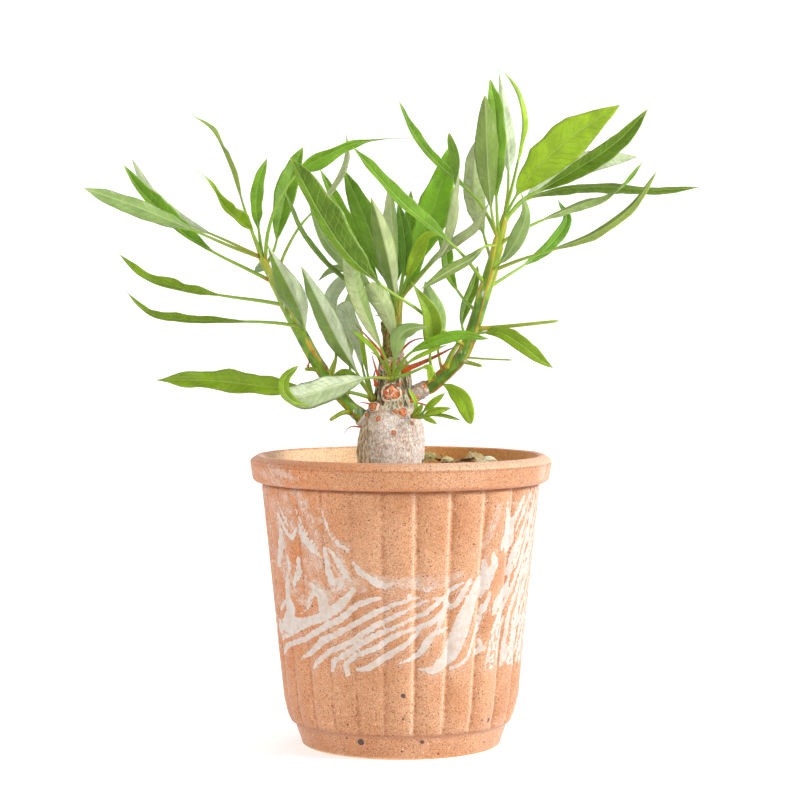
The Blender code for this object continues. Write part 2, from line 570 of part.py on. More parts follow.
def build_caudex(bark):
    """The swollen trunk on its taproot, with its shoulders, dead stub, bud scars and spines."""
    rings = [level_ring(r, z, CAUDEX_SIDES, (x, 0)) for z, x, r in caudex_rings()]
    caudex = new_object("caudex", skin(rings))
    shapes = [branch(LEFT_SHOULDER), branch(RIGHT_SHOULDER), branch(MIDDLE_SHOULDER)]
    shapes.append(branch(DEAD_STUB, 8))
    for px, py, radius in BUD_SCARS:
        place, facing = on_caudex(px, py)
        shapes.append(knob(place, radius, radius * 0.4, facing))
    shapes += [spine(route) for route in CAUDEX_SPINES]
    fuse(caudex, shapes)
    finish(caudex, bark)


def build_leafy_stem(name, stem, leaves, spines, green, blunt=()):
    """A stem with its leaves and spines, in one body."""
    obj = new_object(name, stem)
    shapes = [leaf_shape(spec) for spec in leaves]
    shapes += [spine(route, i in blunt) for i, route in enumerate(spines)]
    fuse(obj, shapes)
    finish(obj, green)


def build_tuft(name, leaves, green):
    """Leaves that spring from one short spur on the caudex."""
    root = seen(*leaves[0].root)
    spur = bmesh.new()
    bmesh.ops.create_icosphere(spur, subdivisions=1, radius=SPUR_RADIUS)
    bmesh.ops.translate(spur, vec=root, verts=spur.verts)
    build_leafy_stem(name, spur, leaves, (), green)


def main():
    """Builds the whole part."""
    for obj in list(bpy.data.objects):
        bpy.data.objects.remove(obj)
    green = material("leaf_green", (0.13, 0.31, 0.04), 0.45)
    build_pot(material("marbled_clay", (0.66, 0.37, 0.22), 0.6))
    build_soil(material("gritty_soil", (0.12, 0.07, 0.04), 0.95))
    build_caudex(material("tan_bark", (0.45, 0.36, 0.26), 0.75))
    build_leafy_stem("leafy_stem_left", seated_branch(LEFT_SHOULDER, LEFT_STEM), LEFT_LEAVES,
                     LEFT_SPINES, green)
    build_leafy_stem("leafy_stem_middle", seated_branch(MIDDLE_SHOULDER, MIDDLE_STEM, 8),
                     MIDDLE_LEAVES, MIDDLE_SPINES, green)
    build_leafy_stem("leafy_stem_right", seated_branch(RIGHT_SHOULDER, RIGHT_STEM), RIGHT_LEAVES,
                     RIGHT_SPINES, green, BLUNT_SPINES)
    build_tuft("leaf_tuft_front", FRONT_LEAVES, green)
    build_tuft("leaf_tuft_side", SIDE_LEAVES, green)
    build_leafy_stem("leaf_sprout", branch(SPROUT_STEM, 6), SPROUT_LEAVES, (), green)


main()
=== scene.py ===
"""Full looks of a potted caudex shrub: marbled ribbed clay pot, gritty soil, tan caudex and leafy stems.

Lengths are millimetres in the part's frame (+Z up, the near side faces -Y) and become metres where a mesh
is made. Routes of stems, leaves and spines are written as in the part's source: picture x and y of an
800 x 800 view, and a depth in millimetres behind the upright plane through the pot's axis.
"""

import itertools
import logging
import math
from dataclasses import dataclass, field
from enum import Enum
from typing import Optional, Sequence

import bpy
import numpy as np
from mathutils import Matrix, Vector


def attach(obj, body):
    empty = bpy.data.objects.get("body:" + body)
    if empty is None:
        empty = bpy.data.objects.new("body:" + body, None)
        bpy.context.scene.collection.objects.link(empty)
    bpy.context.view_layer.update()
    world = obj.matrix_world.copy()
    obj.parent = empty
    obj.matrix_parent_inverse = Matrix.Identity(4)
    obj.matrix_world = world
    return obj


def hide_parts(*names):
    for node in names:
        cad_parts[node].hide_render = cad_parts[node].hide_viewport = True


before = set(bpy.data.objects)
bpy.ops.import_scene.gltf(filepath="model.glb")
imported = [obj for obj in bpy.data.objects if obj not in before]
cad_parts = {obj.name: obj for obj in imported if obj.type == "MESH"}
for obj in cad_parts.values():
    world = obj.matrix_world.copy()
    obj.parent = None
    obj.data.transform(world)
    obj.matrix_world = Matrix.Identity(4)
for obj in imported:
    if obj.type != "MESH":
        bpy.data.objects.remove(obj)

LOG = logging.getLogger("potted_shrub")
MM = 0.001
ROOT_BODY = "root"

# Radius and height of the pot's inner wall, near its floor and below its rim
INNER_WALL = ((35.0, 12.0), (43.4, 86.0))
# How far a section's facing axis leans up where the route runs along the line of sight
FACING_RISE = 0.15

Array = np.ndarray
Colour = tuple[float, float, float]
Point = tuple[float, float, float]
Socket = bpy.types.NodeSocket
Material = bpy.types.Material


def srgb(red: float, green: float, blue: float) -> Colour:
    """The linear colour of screen values from 0 to 255."""
    shares = (value / 255 for value in (red, green, blue))
    return tuple(s / 12.92 if s <= 0.04045 else ((s + 0.055) / 1.055) ** 2.4 for s in shares)


def smoothstep(low: float, high: float, value: Array) -> Array:
    """Rises from 0 at low to 1 at high as 3t^2 - 2t^3."""
    t = np.clip((value - low) / (high - low), 0.0, 1.0)
    return t * t * (3 - 2 * t)


def unit(vectors: Array) -> Array:
    """The vectors at length one."""
    return vectors / np.maximum(np.linalg.norm(vectors, axis=-1, keepdims=True), 1e-12)


def swell(value: Array, middle: float, reach: float | Array) -> Array:
    """1 at the middle, falling away to both sides as exp(-((value - middle) / reach)^2)."""
    return np.exp(-(((value - middle) / reach) ** 2))


def full_turn(count: int) -> Array:
    """Even turns round a circle."""
    return 2 * np.pi * np.arange(count) / count


def level_ways(turn: Array) -> Array:
    """Level unit directions at turns from the front, which is -Y."""
    return np.stack((np.sin(turn), -np.cos(turn), np.zeros(len(turn))), axis=-1)


def turn_about(axis: int, angle: float) -> Array:
    """The matrix of a turn about an axis: cos and sin in the rows and columns of the other two axes."""
    i, j = (axis + 1) % 3, (axis + 2) % 3
    matrix = np.eye(3)
    matrix[i, i] = matrix[j, j] = math.cos(angle)
    matrix[i, j], matrix[j, i] = -math.sin(angle), math.sin(angle)
    return matrix


class Noise:
    """Smooth seeded noise: random numbers on a lattice, blended by a smoothstep between its corners."""

    LAYER_SHIFT = 7.3

    def __init__(self, seed: int, size: int = 48) -> None:
        """Draws the lattice.

        Args:
            seed: seed of the random numbers.
            size: lattice points along each axis, after which the noise repeats.
        """
        self.size = size
        self.lattice = np.random.default_rng(seed).uniform(-1, 1, (size, size, size))

    def at(self, points: Array, wavelength: float) -> Array:
        """Noise from -1 to 1 with bumps about one wavelength across.

        Args:
            points: places, the last axis of length 3.
            wavelength: spacing of the lattice in the points' unit.

        Returns:
            One value for each place.
        """
        scaled = points / wavelength
        cell = np.floor(scaled).astype(int)
        share = scaled - cell
        share = share * share * (3 - 2 * share)
        total = np.zeros(points.shape[:-1])
        for corner in itertools.product((0, 1), repeat=3):
            weight = np.prod(np.where(corner, share, 1 - share), axis=-1)
            i, j, k = np.moveaxis((cell + corner) % self.size, -1, 0)
            total += weight * self.lattice[i, j, k]
        return total

    def layered(self, points: Array, wavelength: float, layers: int = 3) -> Array:
        """Layers of noise, each of half the wavelength and half the height of the one before."""
        return sum(self.at(points + self.LAYER_SHIFT * n, wavelength / 2**n) / 2**n for n in range(layers))


NOISE = Noise(11)


@dataclass(frozen=True)
class Viewpoint:
    """The viewpoint from which the plant was laid out, and the camera's place."""

    distance: float = 811.7
    height: float = 147.1
    tilt_deg: float = 2.33
    focal: float = 2450.0
    centre_x: float = 401.0
    centre_y: float = 400.0
    picture_side: float = 800.0

    def place(self, px: Array, py: Array, depth: Array) -> Array:
        """The place in mm that shows at a picture point: the eye plus the point's ray to that depth.

        Args:
            px: picture x.
            py: picture y.
            depth: mm behind the upright plane through the pot's axis.

        Returns:
            Places, the last axis of length 3.
        """
        tilt = math.radians(self.tilt_deg)
        right = (np.asarray(px, float) - self.centre_x) / self.focal
        rise = (self.centre_y - np.asarray(py, float)) / self.focal
        ahead = math.cos(tilt) + rise * math.sin(tilt)
        up = rise * math.cos(tilt) - math.sin(tilt)
        ray = np.stack(np.broadcast_arrays(right, ahead, up), axis=-1)
        reach = (np.asarray(depth, float) + self.distance) / ray[..., 1]
        return self.eye() + ray * reach[..., None]

    def route(self, points: Sequence[Point]) -> Array:
        """The places of a route of (picture x, picture y, depth)."""
        columns = np.array([p[:3] for p in points], float)
        return self.place(columns[:, 0], columns[:, 1], columns[:, 2])

    def picture(self, places: Array) -> tuple[Array, Array]:
        """Picture x and y at which places show, by the same rays taken backwards."""
        tilt = math.radians(self.tilt_deg)
        offset = places - self.eye()
        ahead = offset[..., 1] * math.cos(tilt) - offset[..., 2] * math.sin(tilt)
        up = offset[..., 1] * math.sin(tilt) + offset[..., 2] * math.cos(tilt)
        return self.centre_x + self.focal * offset[..., 0] / ahead, self.centre_y - self.focal * up / ahead

    def eye(self) -> Array:
        """The viewpoint itself."""
        return np.array((0.0, -self.distance, self.height))


VIEW = Viewpoint()


class Route:
    """A Catmull-Rom curve through places, its ends mirrored, read by its share of arc length."""

    def __init__(self, places: Array, steps: int = 12) -> None:
        """Samples the curve densely.

        Args:
            places: at least two places that the curve passes through.
            steps: samples between two of them.
        """
        ends = np.vstack((2 * places[0] - places[1], places, 2 * places[-1] - places[-2]))
        t = (np.arange(steps) / steps)[None, :, None]
        a, b, c, d = (ends[i : len(ends) - 3 + i, None, :] for i in range(4))
        bend = (2 * a - 5 * b + 4 * c - d) * t**2 + (3 * b - a - 3 * c + d) * t**3
        dense = ((2 * b + (c - a) * t + bend) / 2).reshape(-1, 3)
        self.dense = np.vstack((dense, places[-1:]))
        self.run = np.concatenate(((0.0,), np.cumsum(np.linalg.norm(np.diff(self.dense, axis=0), axis=1))))

    @property
    def length(self) -> float:
        """The curve's arc length."""
        return float(self.run[-1])

    def at(self, shares: Array) -> Array:
        """Places at shares of the arc length."""
        wanted = np.clip(shares, 0.0, 1.0) * self.run[-1]
        return np.stack([np.interp(wanted, self.run, self.dense[:, i]) for i in range(3)], axis=-1)

    def ahead(self, shares: Array, reach: float = 0.035) -> Array:
        """Directions of the curve at shares, taken over a short reach to both sides."""
        return unit(self.at(shares + reach) - self.at(shares - reach))


@dataclass
class Patch:
    """One closed surface: its vertices, its faces and its attributes by name."""

    points: Array
    quads: Array
    triangles: Array
    attributes: dict[str, Array] = field(default_factory=dict)

    def volume(self) -> float:
        """Six times the enclosed volume: the sum of corner triple products, negative if inside out."""
        split = np.vstack((self.quads[:, (0, 1, 2)], self.quads[:, (0, 2, 3)], self.triangles))
        a, b, c = (self.points[split[:, i]] for i in range(3))
        return float(np.einsum("ij,ij->i", a, np.cross(b, c)).sum())

    def outward(self) -> "Patch":
        """The patch with its faces turned outwards."""
        if self.volume() < 0:
            self.quads = self.quads[:, ::-1]
            self.triangles = self.triangles[:, ::-1]
        return self


def closed_grid(points: Array, attributes: Optional[dict[str, Array]] = None) -> Patch:
    """A grid of rows and columns closed round its columns, with a fan of triangles at both ends.

    Face (r, c) joins vertices (r, c), (r, c+1), (r+1, c+1) and (r+1, c), with c taken round.

    Args:
        points: array of rows, columns and 3.
        attributes: arrays whose first two axes are rows and columns.

    Returns:
        The closed patch, its faces outwards.
    """
    rows, columns = points.shape[:2]
    number = np.arange(rows * columns).reshape(rows, columns)
    turned = np.roll(number, -1, axis=1)
    quads = np.stack((number[:-1], turned[:-1], turned[1:], number[1:]), axis=-1).reshape(-1, 4)
    low, high = rows * columns, rows * columns + 1
    first = np.stack((turned[0], number[0], np.full(columns, low)), axis=-1)
    last = np.stack((number[-1], turned[-1], np.full(columns, high)), axis=-1)
    closed = {}
    for name, values in (attributes or {}).items():
        flat = values.reshape(rows * columns, *values.shape[2:])
        closed[name] = np.concatenate((flat, values[0].mean(axis=0)[None], values[-1].mean(axis=0)[None]))
    spots = np.vstack((points.reshape(-1, 3), points[0].mean(axis=0), points[-1].mean(axis=0)))
    return Patch(spots, quads, np.vstack((first, last)), closed).outward()


def tube_points(places: Array, ahead: Array, radii: Array) -> Array:
    """Rings across a route: centre + radius (cos a facing + sin a across), facing towards -Y.

    Args:
        places: centres of the rings.
        ahead: direction of the route at each.
        radii: radius by ring and column.

    Returns:
        Array of rings, columns and 3.
    """
    facing, across = section_axes(ahead)
    turns = full_turn(radii.shape[1])
    spokes = np.cos(turns)[None, :, None] * facing[:, None] + np.sin(turns)[None, :, None] * across[:, None]
    return places[:, None] + radii[..., None] * spokes


def section_axes(ahead: Array, turn_deg: Array = 0.0) -> tuple[Array, Array]:
    """Two axes square to a route: one towards the viewer, turned about the route, and the one across.

    Args:
        ahead: unit directions of the route.
        turn_deg: turn of both axes about the route, in degrees.

    Returns:
        The facing and the across axes.
    """
    flat = np.zeros(len(ahead))
    facing = np.stack((flat, flat - 1, FACING_RISE * np.abs(ahead[:, 1])), axis=-1)
    facing = unit(facing - ahead * np.sum(facing * ahead, axis=1, keepdims=True))
    across = np.cross(ahead, facing)
    turn = np.broadcast_to(np.radians(turn_deg), (len(ahead),))[:, None]
    return facing * np.cos(turn) + across * np.sin(turn), across * np.cos(turn) - facing * np.sin(turn)


def mesh_object(name: str, patches: Sequence[Patch],
                material: Optional[Material] = None) -> bpy.types.Object:
    """One smooth-shaded object from patches.

    Args:
        name: the object's name.
        patches: surfaces with the same attributes.
        material: the object's material, if it has one yet.

    Returns:
        The object, in metres, at the origin.
    """
    starts = np.cumsum([0] + [len(p.points) for p in patches[:-1]])
    quads = np.concatenate([p.quads + s for p, s in zip(patches, starts)])
    triangles = np.concatenate([p.triangles + s for p, s in zip(patches, starts)])
    mesh = bpy.data.meshes.new(name)
    points = np.concatenate([p.points for p in patches]) * MM
    mesh.from_pydata(points, [], quads.tolist() + triangles.tolist())
    smooth_all(mesh)
    for key in patches[0].attributes:
        write_attribute(mesh, key, np.concatenate([p.attributes[key] for p in patches]))
    if material:
        mesh.materials.append(material)
    obj = bpy.data.objects.new(name, mesh)
    bpy.context.scene.collection.objects.link(obj)
    return obj


def smooth_all(mesh: bpy.types.Mesh) -> None:
    """Shades every face smoothly."""
    mesh.polygons.foreach_set("use_smooth", np.ones(len(mesh.polygons), bool))


def write_attribute(mesh: bpy.types.Mesh, name: str, values: Array) -> None:
    """Stores one number, or one vector of three, for each vertex."""
    kind, key = ("FLOAT", "value") if values.ndim == 1 else ("FLOAT_VECTOR", "vector")
    mesh.attributes.new(name, kind, "POINT").data.foreach_set(key, values.astype(np.float32).ravel())


def take_place(obj: bpy.types.Object, slot: str, *nodes: str) -> None:
    """Rides an object on the root body in place of CAD nodes, and reports it.

    Args:
        obj: the finished piece.
        slot: the record's material slot; not used.
        nodes: names of the CAD nodes that it stands for.
    """
    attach(obj, ROOT_BODY)
    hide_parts(*nodes)
    count = sum(len(face.vertices) - 2 for face in obj.data.polygons)
    LOG.info("%s stands for %s with %d triangles", obj.name, ", ".join(nodes), count)


class Weave:
    """A Principled material under work, with short calls for the nodes of its pattern."""

    def __init__(self, name: str, roughness: float, specular: float = 0.5) -> None:
        """Makes the material.

        Args:
            name: the finish's name.
            roughness: constant roughness of the surface.
            specular: constant specular level.
        """
        self.material = bpy.data.materials.new(name)
        self.material.use_nodes = True
        self.nodes = self.material.node_tree.nodes
        self.links = self.material.node_tree.links
        self.shader = self.nodes["Principled BSDF"]
        self.shader.inputs["Roughness"].default_value = roughness
        self.shader.inputs["Specular IOR Level"].default_value = specular
        self.place = self.nodes.new("ShaderNodeTexCoord").outputs["Object"]

    def put(self, socket: Socket, value: object) -> None:
        """Links a socket to another, or sets its value."""
        if isinstance(value, Socket):
            self.links.new(value, socket)
        elif isinstance(value, tuple) and socket.type == "RGBA":
            socket.default_value = (*value, 1.0)
        else:
            socket.default_value = value

    def attribute(self, name: str, output: str = "Fac") -> Socket:
        """A vertex attribute, as a number (Fac) or a Vector."""
        node = self.nodes.new("ShaderNodeAttribute")
        node.attribute_name = name
        return node.outputs[output]

    def split(self, vector: Socket) -> tuple[Socket, ...]:
        """The three parts of a vector."""
        node = self.nodes.new("ShaderNodeSeparateXYZ")
        self.put(node.inputs[0], vector)
        return tuple(node.outputs)

    def sum(self, *terms: object) -> Socket:
        """The sum of numbers."""
        return self.fold("ADD", terms)

    def product(self, *terms: object) -> Socket:
        """The product of numbers."""
        return self.fold("MULTIPLY", terms)

    def fold(self, operation: str, terms: Sequence[object]) -> Socket:
        """Numbers joined one after the other by an operation."""
        total = terms[0]
        for term in terms[1:]:
            total = self.math(operation, total, term)
        return total

    def math(self, operation: str, first: object, second: object = 0.0) -> Socket:
        """One operation on two numbers."""
        node = self.nodes.new("ShaderNodeMath")
        node.operation = operation
        self.put(node.inputs[0], first)
        self.put(node.inputs[1], second)
        return node.outputs[0]

    def rest(self, value: object) -> Socket:
        """1 less a number."""
        return self.math("SUBTRACT", 1.0, value)

    def swing(self, size_mm: float, detail: float) -> Socket:
        """Noise about 0 with features of a size in mm."""
        return self.math("SUBTRACT", self.noise(size_mm, detail), 0.5)

    def rise(self, value: object, low: float, high: float, to_low: float = 0.0, to_high: float = 1.0
             ) -> Socket:
        """A smoothstep of a number from low to high, onto another span."""
        node = self.nodes.new("ShaderNodeMapRange")
        node.interpolation_type = "SMOOTHSTEP"
        for key, number in (("From Min", low), ("From Max", high), ("To Min", to_low), ("To Max", to_high)):
            node.inputs[key].default_value = number
        self.put(node.inputs["Value"], value)
        return node.outputs["Result"]

    def stretch(self, scale: Point, vector: Optional[Socket] = None) -> Socket:
        """Object coordinates, or another vector, times a scale along each axis."""
        node = self.nodes.new("ShaderNodeMapping")
        self.put(node.inputs["Vector"], vector or self.place)
        node.inputs["Scale"].default_value = scale
        return node.outputs[0]

    def tall(self, share: float) -> Socket:
        """Object coordinates squeezed to a share along Z, which makes a pattern's features stand tall."""
        return self.stretch((1.0, 1.0, share))

    def noise(self, size_mm: float, detail: float = 2.0, vector: Optional[Socket] = None,
              roughness: float = 0.5) -> Socket:
        """Noise about 0.5 with features of a size in mm."""
        node = self.nodes.new("ShaderNodeTexNoise")
        self.put(node.inputs["Vector"], vector or self.place)
        node.inputs["Scale"].default_value = 1 / (size_mm * MM)
        node.inputs["Detail"].default_value = detail
        node.inputs["Roughness"].default_value = roughness
        return node.outputs["Fac"]

    def cells(self, size_mm: float, feature: str = "F1", vector: Optional[Socket] = None) -> bpy.types.Node:
        """A Voronoi node with cells of a size in mm."""
        node = self.nodes.new("ShaderNodeTexVoronoi")
        node.feature = feature
        self.put(node.inputs["Vector"], vector or self.place)
        node.inputs["Scale"].default_value = 1 / (size_mm * MM)
        return node

    def grains(self, spacing_mm: float, radius_mm: float, share: float) -> Socket:
        """1 on round specks: near the middle of those cells whose random number is below a share."""
        cell = self.cells(spacing_mm)
        near = self.rise(cell.outputs["Distance"], radius_mm / spacing_mm, 0.6 * radius_mm / spacing_mm)
        drawn = self.split(cell.outputs["Color"])[0]
        return self.product(near, self.math("LESS_THAN", drawn, share))

    def mix(self, share: object, first: object, second: object) -> Socket:
        """A colour between two colours."""
        node = self.nodes.new("ShaderNodeMix")
        node.data_type = "RGBA"
        self.put(node.inputs["Factor"], share)
        colours = [s for s in node.inputs if s.type == "RGBA"]
        self.put(colours[0], first)
        self.put(colours[1], second)
        return next(s for s in node.outputs if s.type == "RGBA")

    def coats(self, colour: object, *layers: tuple) -> Socket:
        """A colour under layers, each given as shares to be multiplied and its own colour."""
        for *shares, tone in layers:
            colour = self.mix(self.product(*shares), colour, tone)
        return colour

    def shade(self, colour: object, factor: object) -> Socket:
        """A colour times a number."""
        node = self.nodes.new("ShaderNodeVectorMath")
        node.operation = "SCALE"
        self.put(node.inputs[0], colour)
        self.put(node.inputs["Scale"], factor)
        return node.outputs[0]

    def finish(self, colour: Socket, *reliefs: tuple[object, float]) -> Material:
        """Ends the material with its colour and its bumps.

        Args:
            colour: colour of the surface.
            reliefs: pairs of a height from 0 to 1 and the depth in mm of a height of 1.

        Returns:
            The material.
        """
        self.put(self.shader.inputs["Base Color"], colour)
        normal = None
        for height, depth_mm in reliefs:
            bump = self.nodes.new("ShaderNodeBump")
            bump.inputs["Distance"].default_value = depth_mm * MM
            bump.inputs["Strength"].default_value = 1.0
            self.put(bump.inputs["Height"], height)
            if normal:
                self.put(bump.inputs["Normal"], normal)
            normal = bump.outputs["Normal"]
        if normal:
            self.put(self.shader.inputs["Normal"], normal)
        return self.material


class LeafTone(Enum):
    """Colours of a leaf's upper face and underside."""

    BRIGHT = (srgb(98, 142, 16), srgb(146, 164, 92))
    MATURE = (srgb(98, 140, 20), srgb(132, 152, 84))
    PALE = (srgb(102, 142, 30), srgb(174, 184, 130))
    CHALKY = (srgb(110, 158, 20), srgb(186, 196, 162))
    DEEP = (srgb(86, 132, 22), srgb(124, 146, 86))
    DARK = (srgb(84, 114, 8), srgb(112, 132, 58))
    OLIVE = (srgb(114, 142, 12), srgb(128, 144, 56))
    LIME = (srgb(146, 180, 22), srgb(150, 180, 76))
    SAGE = (srgb(92, 132, 36), srgb(134, 160, 88))
    FERN = (srgb(112, 162, 20), srgb(112, 146, 38))


@dataclass(frozen=True)
class Leaf:
    """A leaf's plan: its route, its blade's width and margin wave in mm, and turns and fold in degrees."""

    root: Point
    bends: Sequence[Point]
    tip: Point
    width: float
    roll: float
    petiole: float = 0.3
    fold: float = 16.0
    wave: float = 0.0
    widest: float = 0.5
    twist: float = 0.0
    tone: LeafTone = LeafTone.MATURE
    # Painted shade: share of the underside's left half painted dark green, or of its right half if negative
    bare: float = 0.0


# Routes of the stems: picture x, picture y, depth in mm, and the stem's radius in mm
LEFT_STEM = (
    (352, 408, -2.5, 2.1), (336, 390, -3.5, 2.15), (320, 367, -4.5, 2.2), (306, 343, -5.5, 2.1),
    (293, 318, -6, 1.95), (281, 295, -6, 1.6), (270, 273, -5.5, 1.2), (262, 257, -5, 0.9),
)
MIDDLE_STEM = ((397, 346, 4.5, 1.7), (397, 330, 5, 1.6), (397, 312, 5.5, 1.4), (399, 297, 6, 1.0))
RIGHT_STEM = (
    (432, 385, 0, 2.3), (447, 372, -1, 2.35), (461, 357, -2, 2.3), (469, 340, -3, 2.2),
    (477, 317, -4, 2.2), (484, 293, -4, 2.15), (491, 270, -4, 2.0), (497, 247, -4, 1.7),
    (501, 230, -4, 1.3), (505, 214, -4, 0.8),
)
SPROUT_STEM = ((411, 416, -8.2, 0.8), (415.5, 416.5, -8.6, 0.78), (420, 417, -9, 0.7))

LEFT_LEAVES = (
    Leaf((262, 258, -5), [(232, 247, -7), (195, 231, -10), (150, 212, -14), (115, 199, -17)],
         (84, 188, -19), 6.6, 188, 0.38, 24, 1.1, 0.52, tone=LeafTone.SAGE),
    Leaf((269, 280, -5), [(245, 268, -2), (215, 253, 2), (185, 234, 5), (155, 206, 6), (136, 185, 6)],
         (124, 165, 5), 7.6, 35, 0.34, 38, 0.0, 0.5, tone=LeafTone.MATURE),
    Leaf((263, 258, -5), [(225, 240, 6), (185, 222, 13), (160, 204, 18), (146, 186, 21)],
         (132, 159, 23), 4.8, 180, 0.36, tone=LeafTone.CHALKY),
    Leaf((260, 254, -5), [(250, 226, -8), (240, 195, -12), (230, 165, -15), (214, 132, -18)],
         (191, 114, -21), 3.8, 118, 0.3, 26, 0.0, 0.5, -60, tone=LeafTone.OLIVE),
    Leaf((264, 262, -5), [(252, 232, -11), (237, 219, -17), (222, 203, -22), (211, 183, -25)],
         (197, 170, -27), 6.4, 30, 0.26, 42, 0.5, 0.32, tone=LeafTone.OLIVE),
    Leaf((262, 256, -5), [(259, 232, -9), (256, 208, -14), (258, 182, -18)],
         (267, 158, -20), 4.6, 25, 0.26, 14, 0.3, 0.5, tone=LeafTone.MATURE),
    Leaf((266, 266, -5), [(275, 247, 3), (279, 225, 9), (285, 197, 14), (293, 170, 17)],
         (303, 147, 19), 8.4, 0, 0.28, 26, 0.3, tone=LeafTone.MATURE),
    Leaf((265, 262, -5), [(268, 232, -10), (279, 200, -14), (300, 171, -16), (330, 154, -16),
         (352, 144, -14), (384, 139, -12)], (417, 138, -10), 5.8, 28, 0.42, 26, 0.8, 0.22,
         tone=LeafTone.BRIGHT),
    Leaf((275, 283, -6), [(284, 255, 3), (298, 229, 9), (313, 211, 13), (330, 190, 16), (344, 162, 18)],
         (347, 133, 20), 5.2, 110, 0.45, 24, tone=LeafTone.PALE),
    Leaf((306, 345, -5), [(304, 325, -11), (299, 306, -17), (288, 284, -24), (276, 262, -29)],
         (266, 242, -33), 12.4, 186, 0.17, 48, 0.2, 0.36, tone=LeafTone.CHALKY, bare=1.0),
    Leaf((284, 305, -6), [(262, 301, -4), (225, 296, -1), (185, 289, 2), (145, 276, 5)],
         (119, 254, 7), 4.8, 42, 0.35, 18, 0.1, tone=LeafTone.OLIVE),
    Leaf((306, 342, -5), [(302, 330, -9), (291, 325, -12), (262, 322, -14), (205, 321, -14),
         (160, 317, -12), (140, 306, -11)], (127, 292, -10), 4.4, 48, 0.36, 20, tone=LeafTone.OLIVE),
    Leaf((271, 275, -5), [(268, 269, 6)], (256, 266, 26), 6.0, 0, 0.3, tone=LeafTone.SAGE),
    Leaf((331, 381, -4), [(336, 356, 4), (333, 325, 12), (331, 298, 17), (345, 278, 19)],
         (362, 262, 20), 5.0, 180, 0.4, tone=LeafTone.CHALKY),
    Leaf((346, 401, -3), [(350, 380, 4), (349, 355, 11), (344, 325, 18)],
         (350, 290, 24), 5.6, 160, 0.36, tone=LeafTone.PALE),
)

MIDDLE_LEAVES = (
    Leaf((397, 318, 5), [(394, 292, -3), (388, 258, -10), (379, 222, -15)],
         (371, 197, -18), 9.6, 184, 0.2, 42, 0.0, 0.45, tone=LeafTone.PALE, bare=0.85),
    Leaf((397, 308, 5), [(396, 280, 2), (393, 245, 0), (391, 212, -1)],
         (390, 184, -2), 6.4, 192, 0.25, 40, tone=LeafTone.PALE, bare=-0.7),
    Leaf((397, 314, 5), [(383, 270, 12), (370, 232, 17), (356, 197, 21)],
         (344, 170, 23), 9.0, 8, 0.22, 14, 0.3, tone=LeafTone.MATURE),
    Leaf((397, 318, 5), [(376, 278, 15), (356, 238, 24), (338, 205, 30)],
         (320, 169, 34), 6.0, 25, 0.24, tone=LeafTone.MATURE),
    Leaf((397, 323, 5), [(372, 290, 2), (345, 262, 1), (326, 240, 1)],
         (309, 203, 1), 5.6, 158, 0.24, tone=LeafTone.SAGE),
    Leaf((397, 328, 5), [(372, 302, -2), (345, 280, -5), (320, 257, -6), (300, 228, -5)],
         (284, 190, -4), 3.8, 60, 0.3, tone=LeafTone.DARK),
    Leaf((398, 305, 6), [(404, 265, 16), (409, 230, 24)], (411, 190, 30), 5.2, 18, 0.3,
         tone=LeafTone.FERN),
    Leaf((398, 304, 6), [(404, 272, 6), (405, 240, 6)], (398, 203, 5), 5.4, 10, 0.25, tone=LeafTone.DEEP),
    Leaf((398, 306, 6), [(396, 272, 22), (400, 245, 32)], (404, 226, 40), 6.2, 5, 0.3, tone=LeafTone.DEEP),
    Leaf((398, 302, 6), [(408, 275, 0), (418, 250, -3), (427, 236, -6)],
         (438, 235, -8), 5.0, 12, 0.3, tone=LeafTone.LIME),
    Leaf((398, 303, 6), [(410, 280, 10), (418, 262, 12)], (424, 240, 13), 3.6, 15, 0.25,
         tone=LeafTone.FERN),
    Leaf((399, 300, 6), [(414, 262, 17), (428, 225, 23), (441, 185, 26)],
         (450, 146, 28), 11.0, 4, 0.22, 16, 1.0, 0.5, tone=LeafTone.FERN),
    Leaf((398, 301, 6), [(424, 272, 4), (446, 245, 1), (456, 208, -1), (458, 168, -3)],
         (449, 133, -5), 5.8, 214, 0.25, 24, 0.0, 0.6, 120, tone=LeafTone.PALE),
    Leaf((398, 303, 6), [(425, 268, 9), (452, 243, 5), (474, 227, -1)],
         (489, 203, -4.5), 4.2, 150, 0.3, tone=LeafTone.PALE),
    Leaf((397, 322, 5), [(374, 294, 9), (350, 271, 13), (331, 271, 16)],
         (318, 281, 18), 3.2, 150, 0.35, tone=LeafTone.SAGE),
)

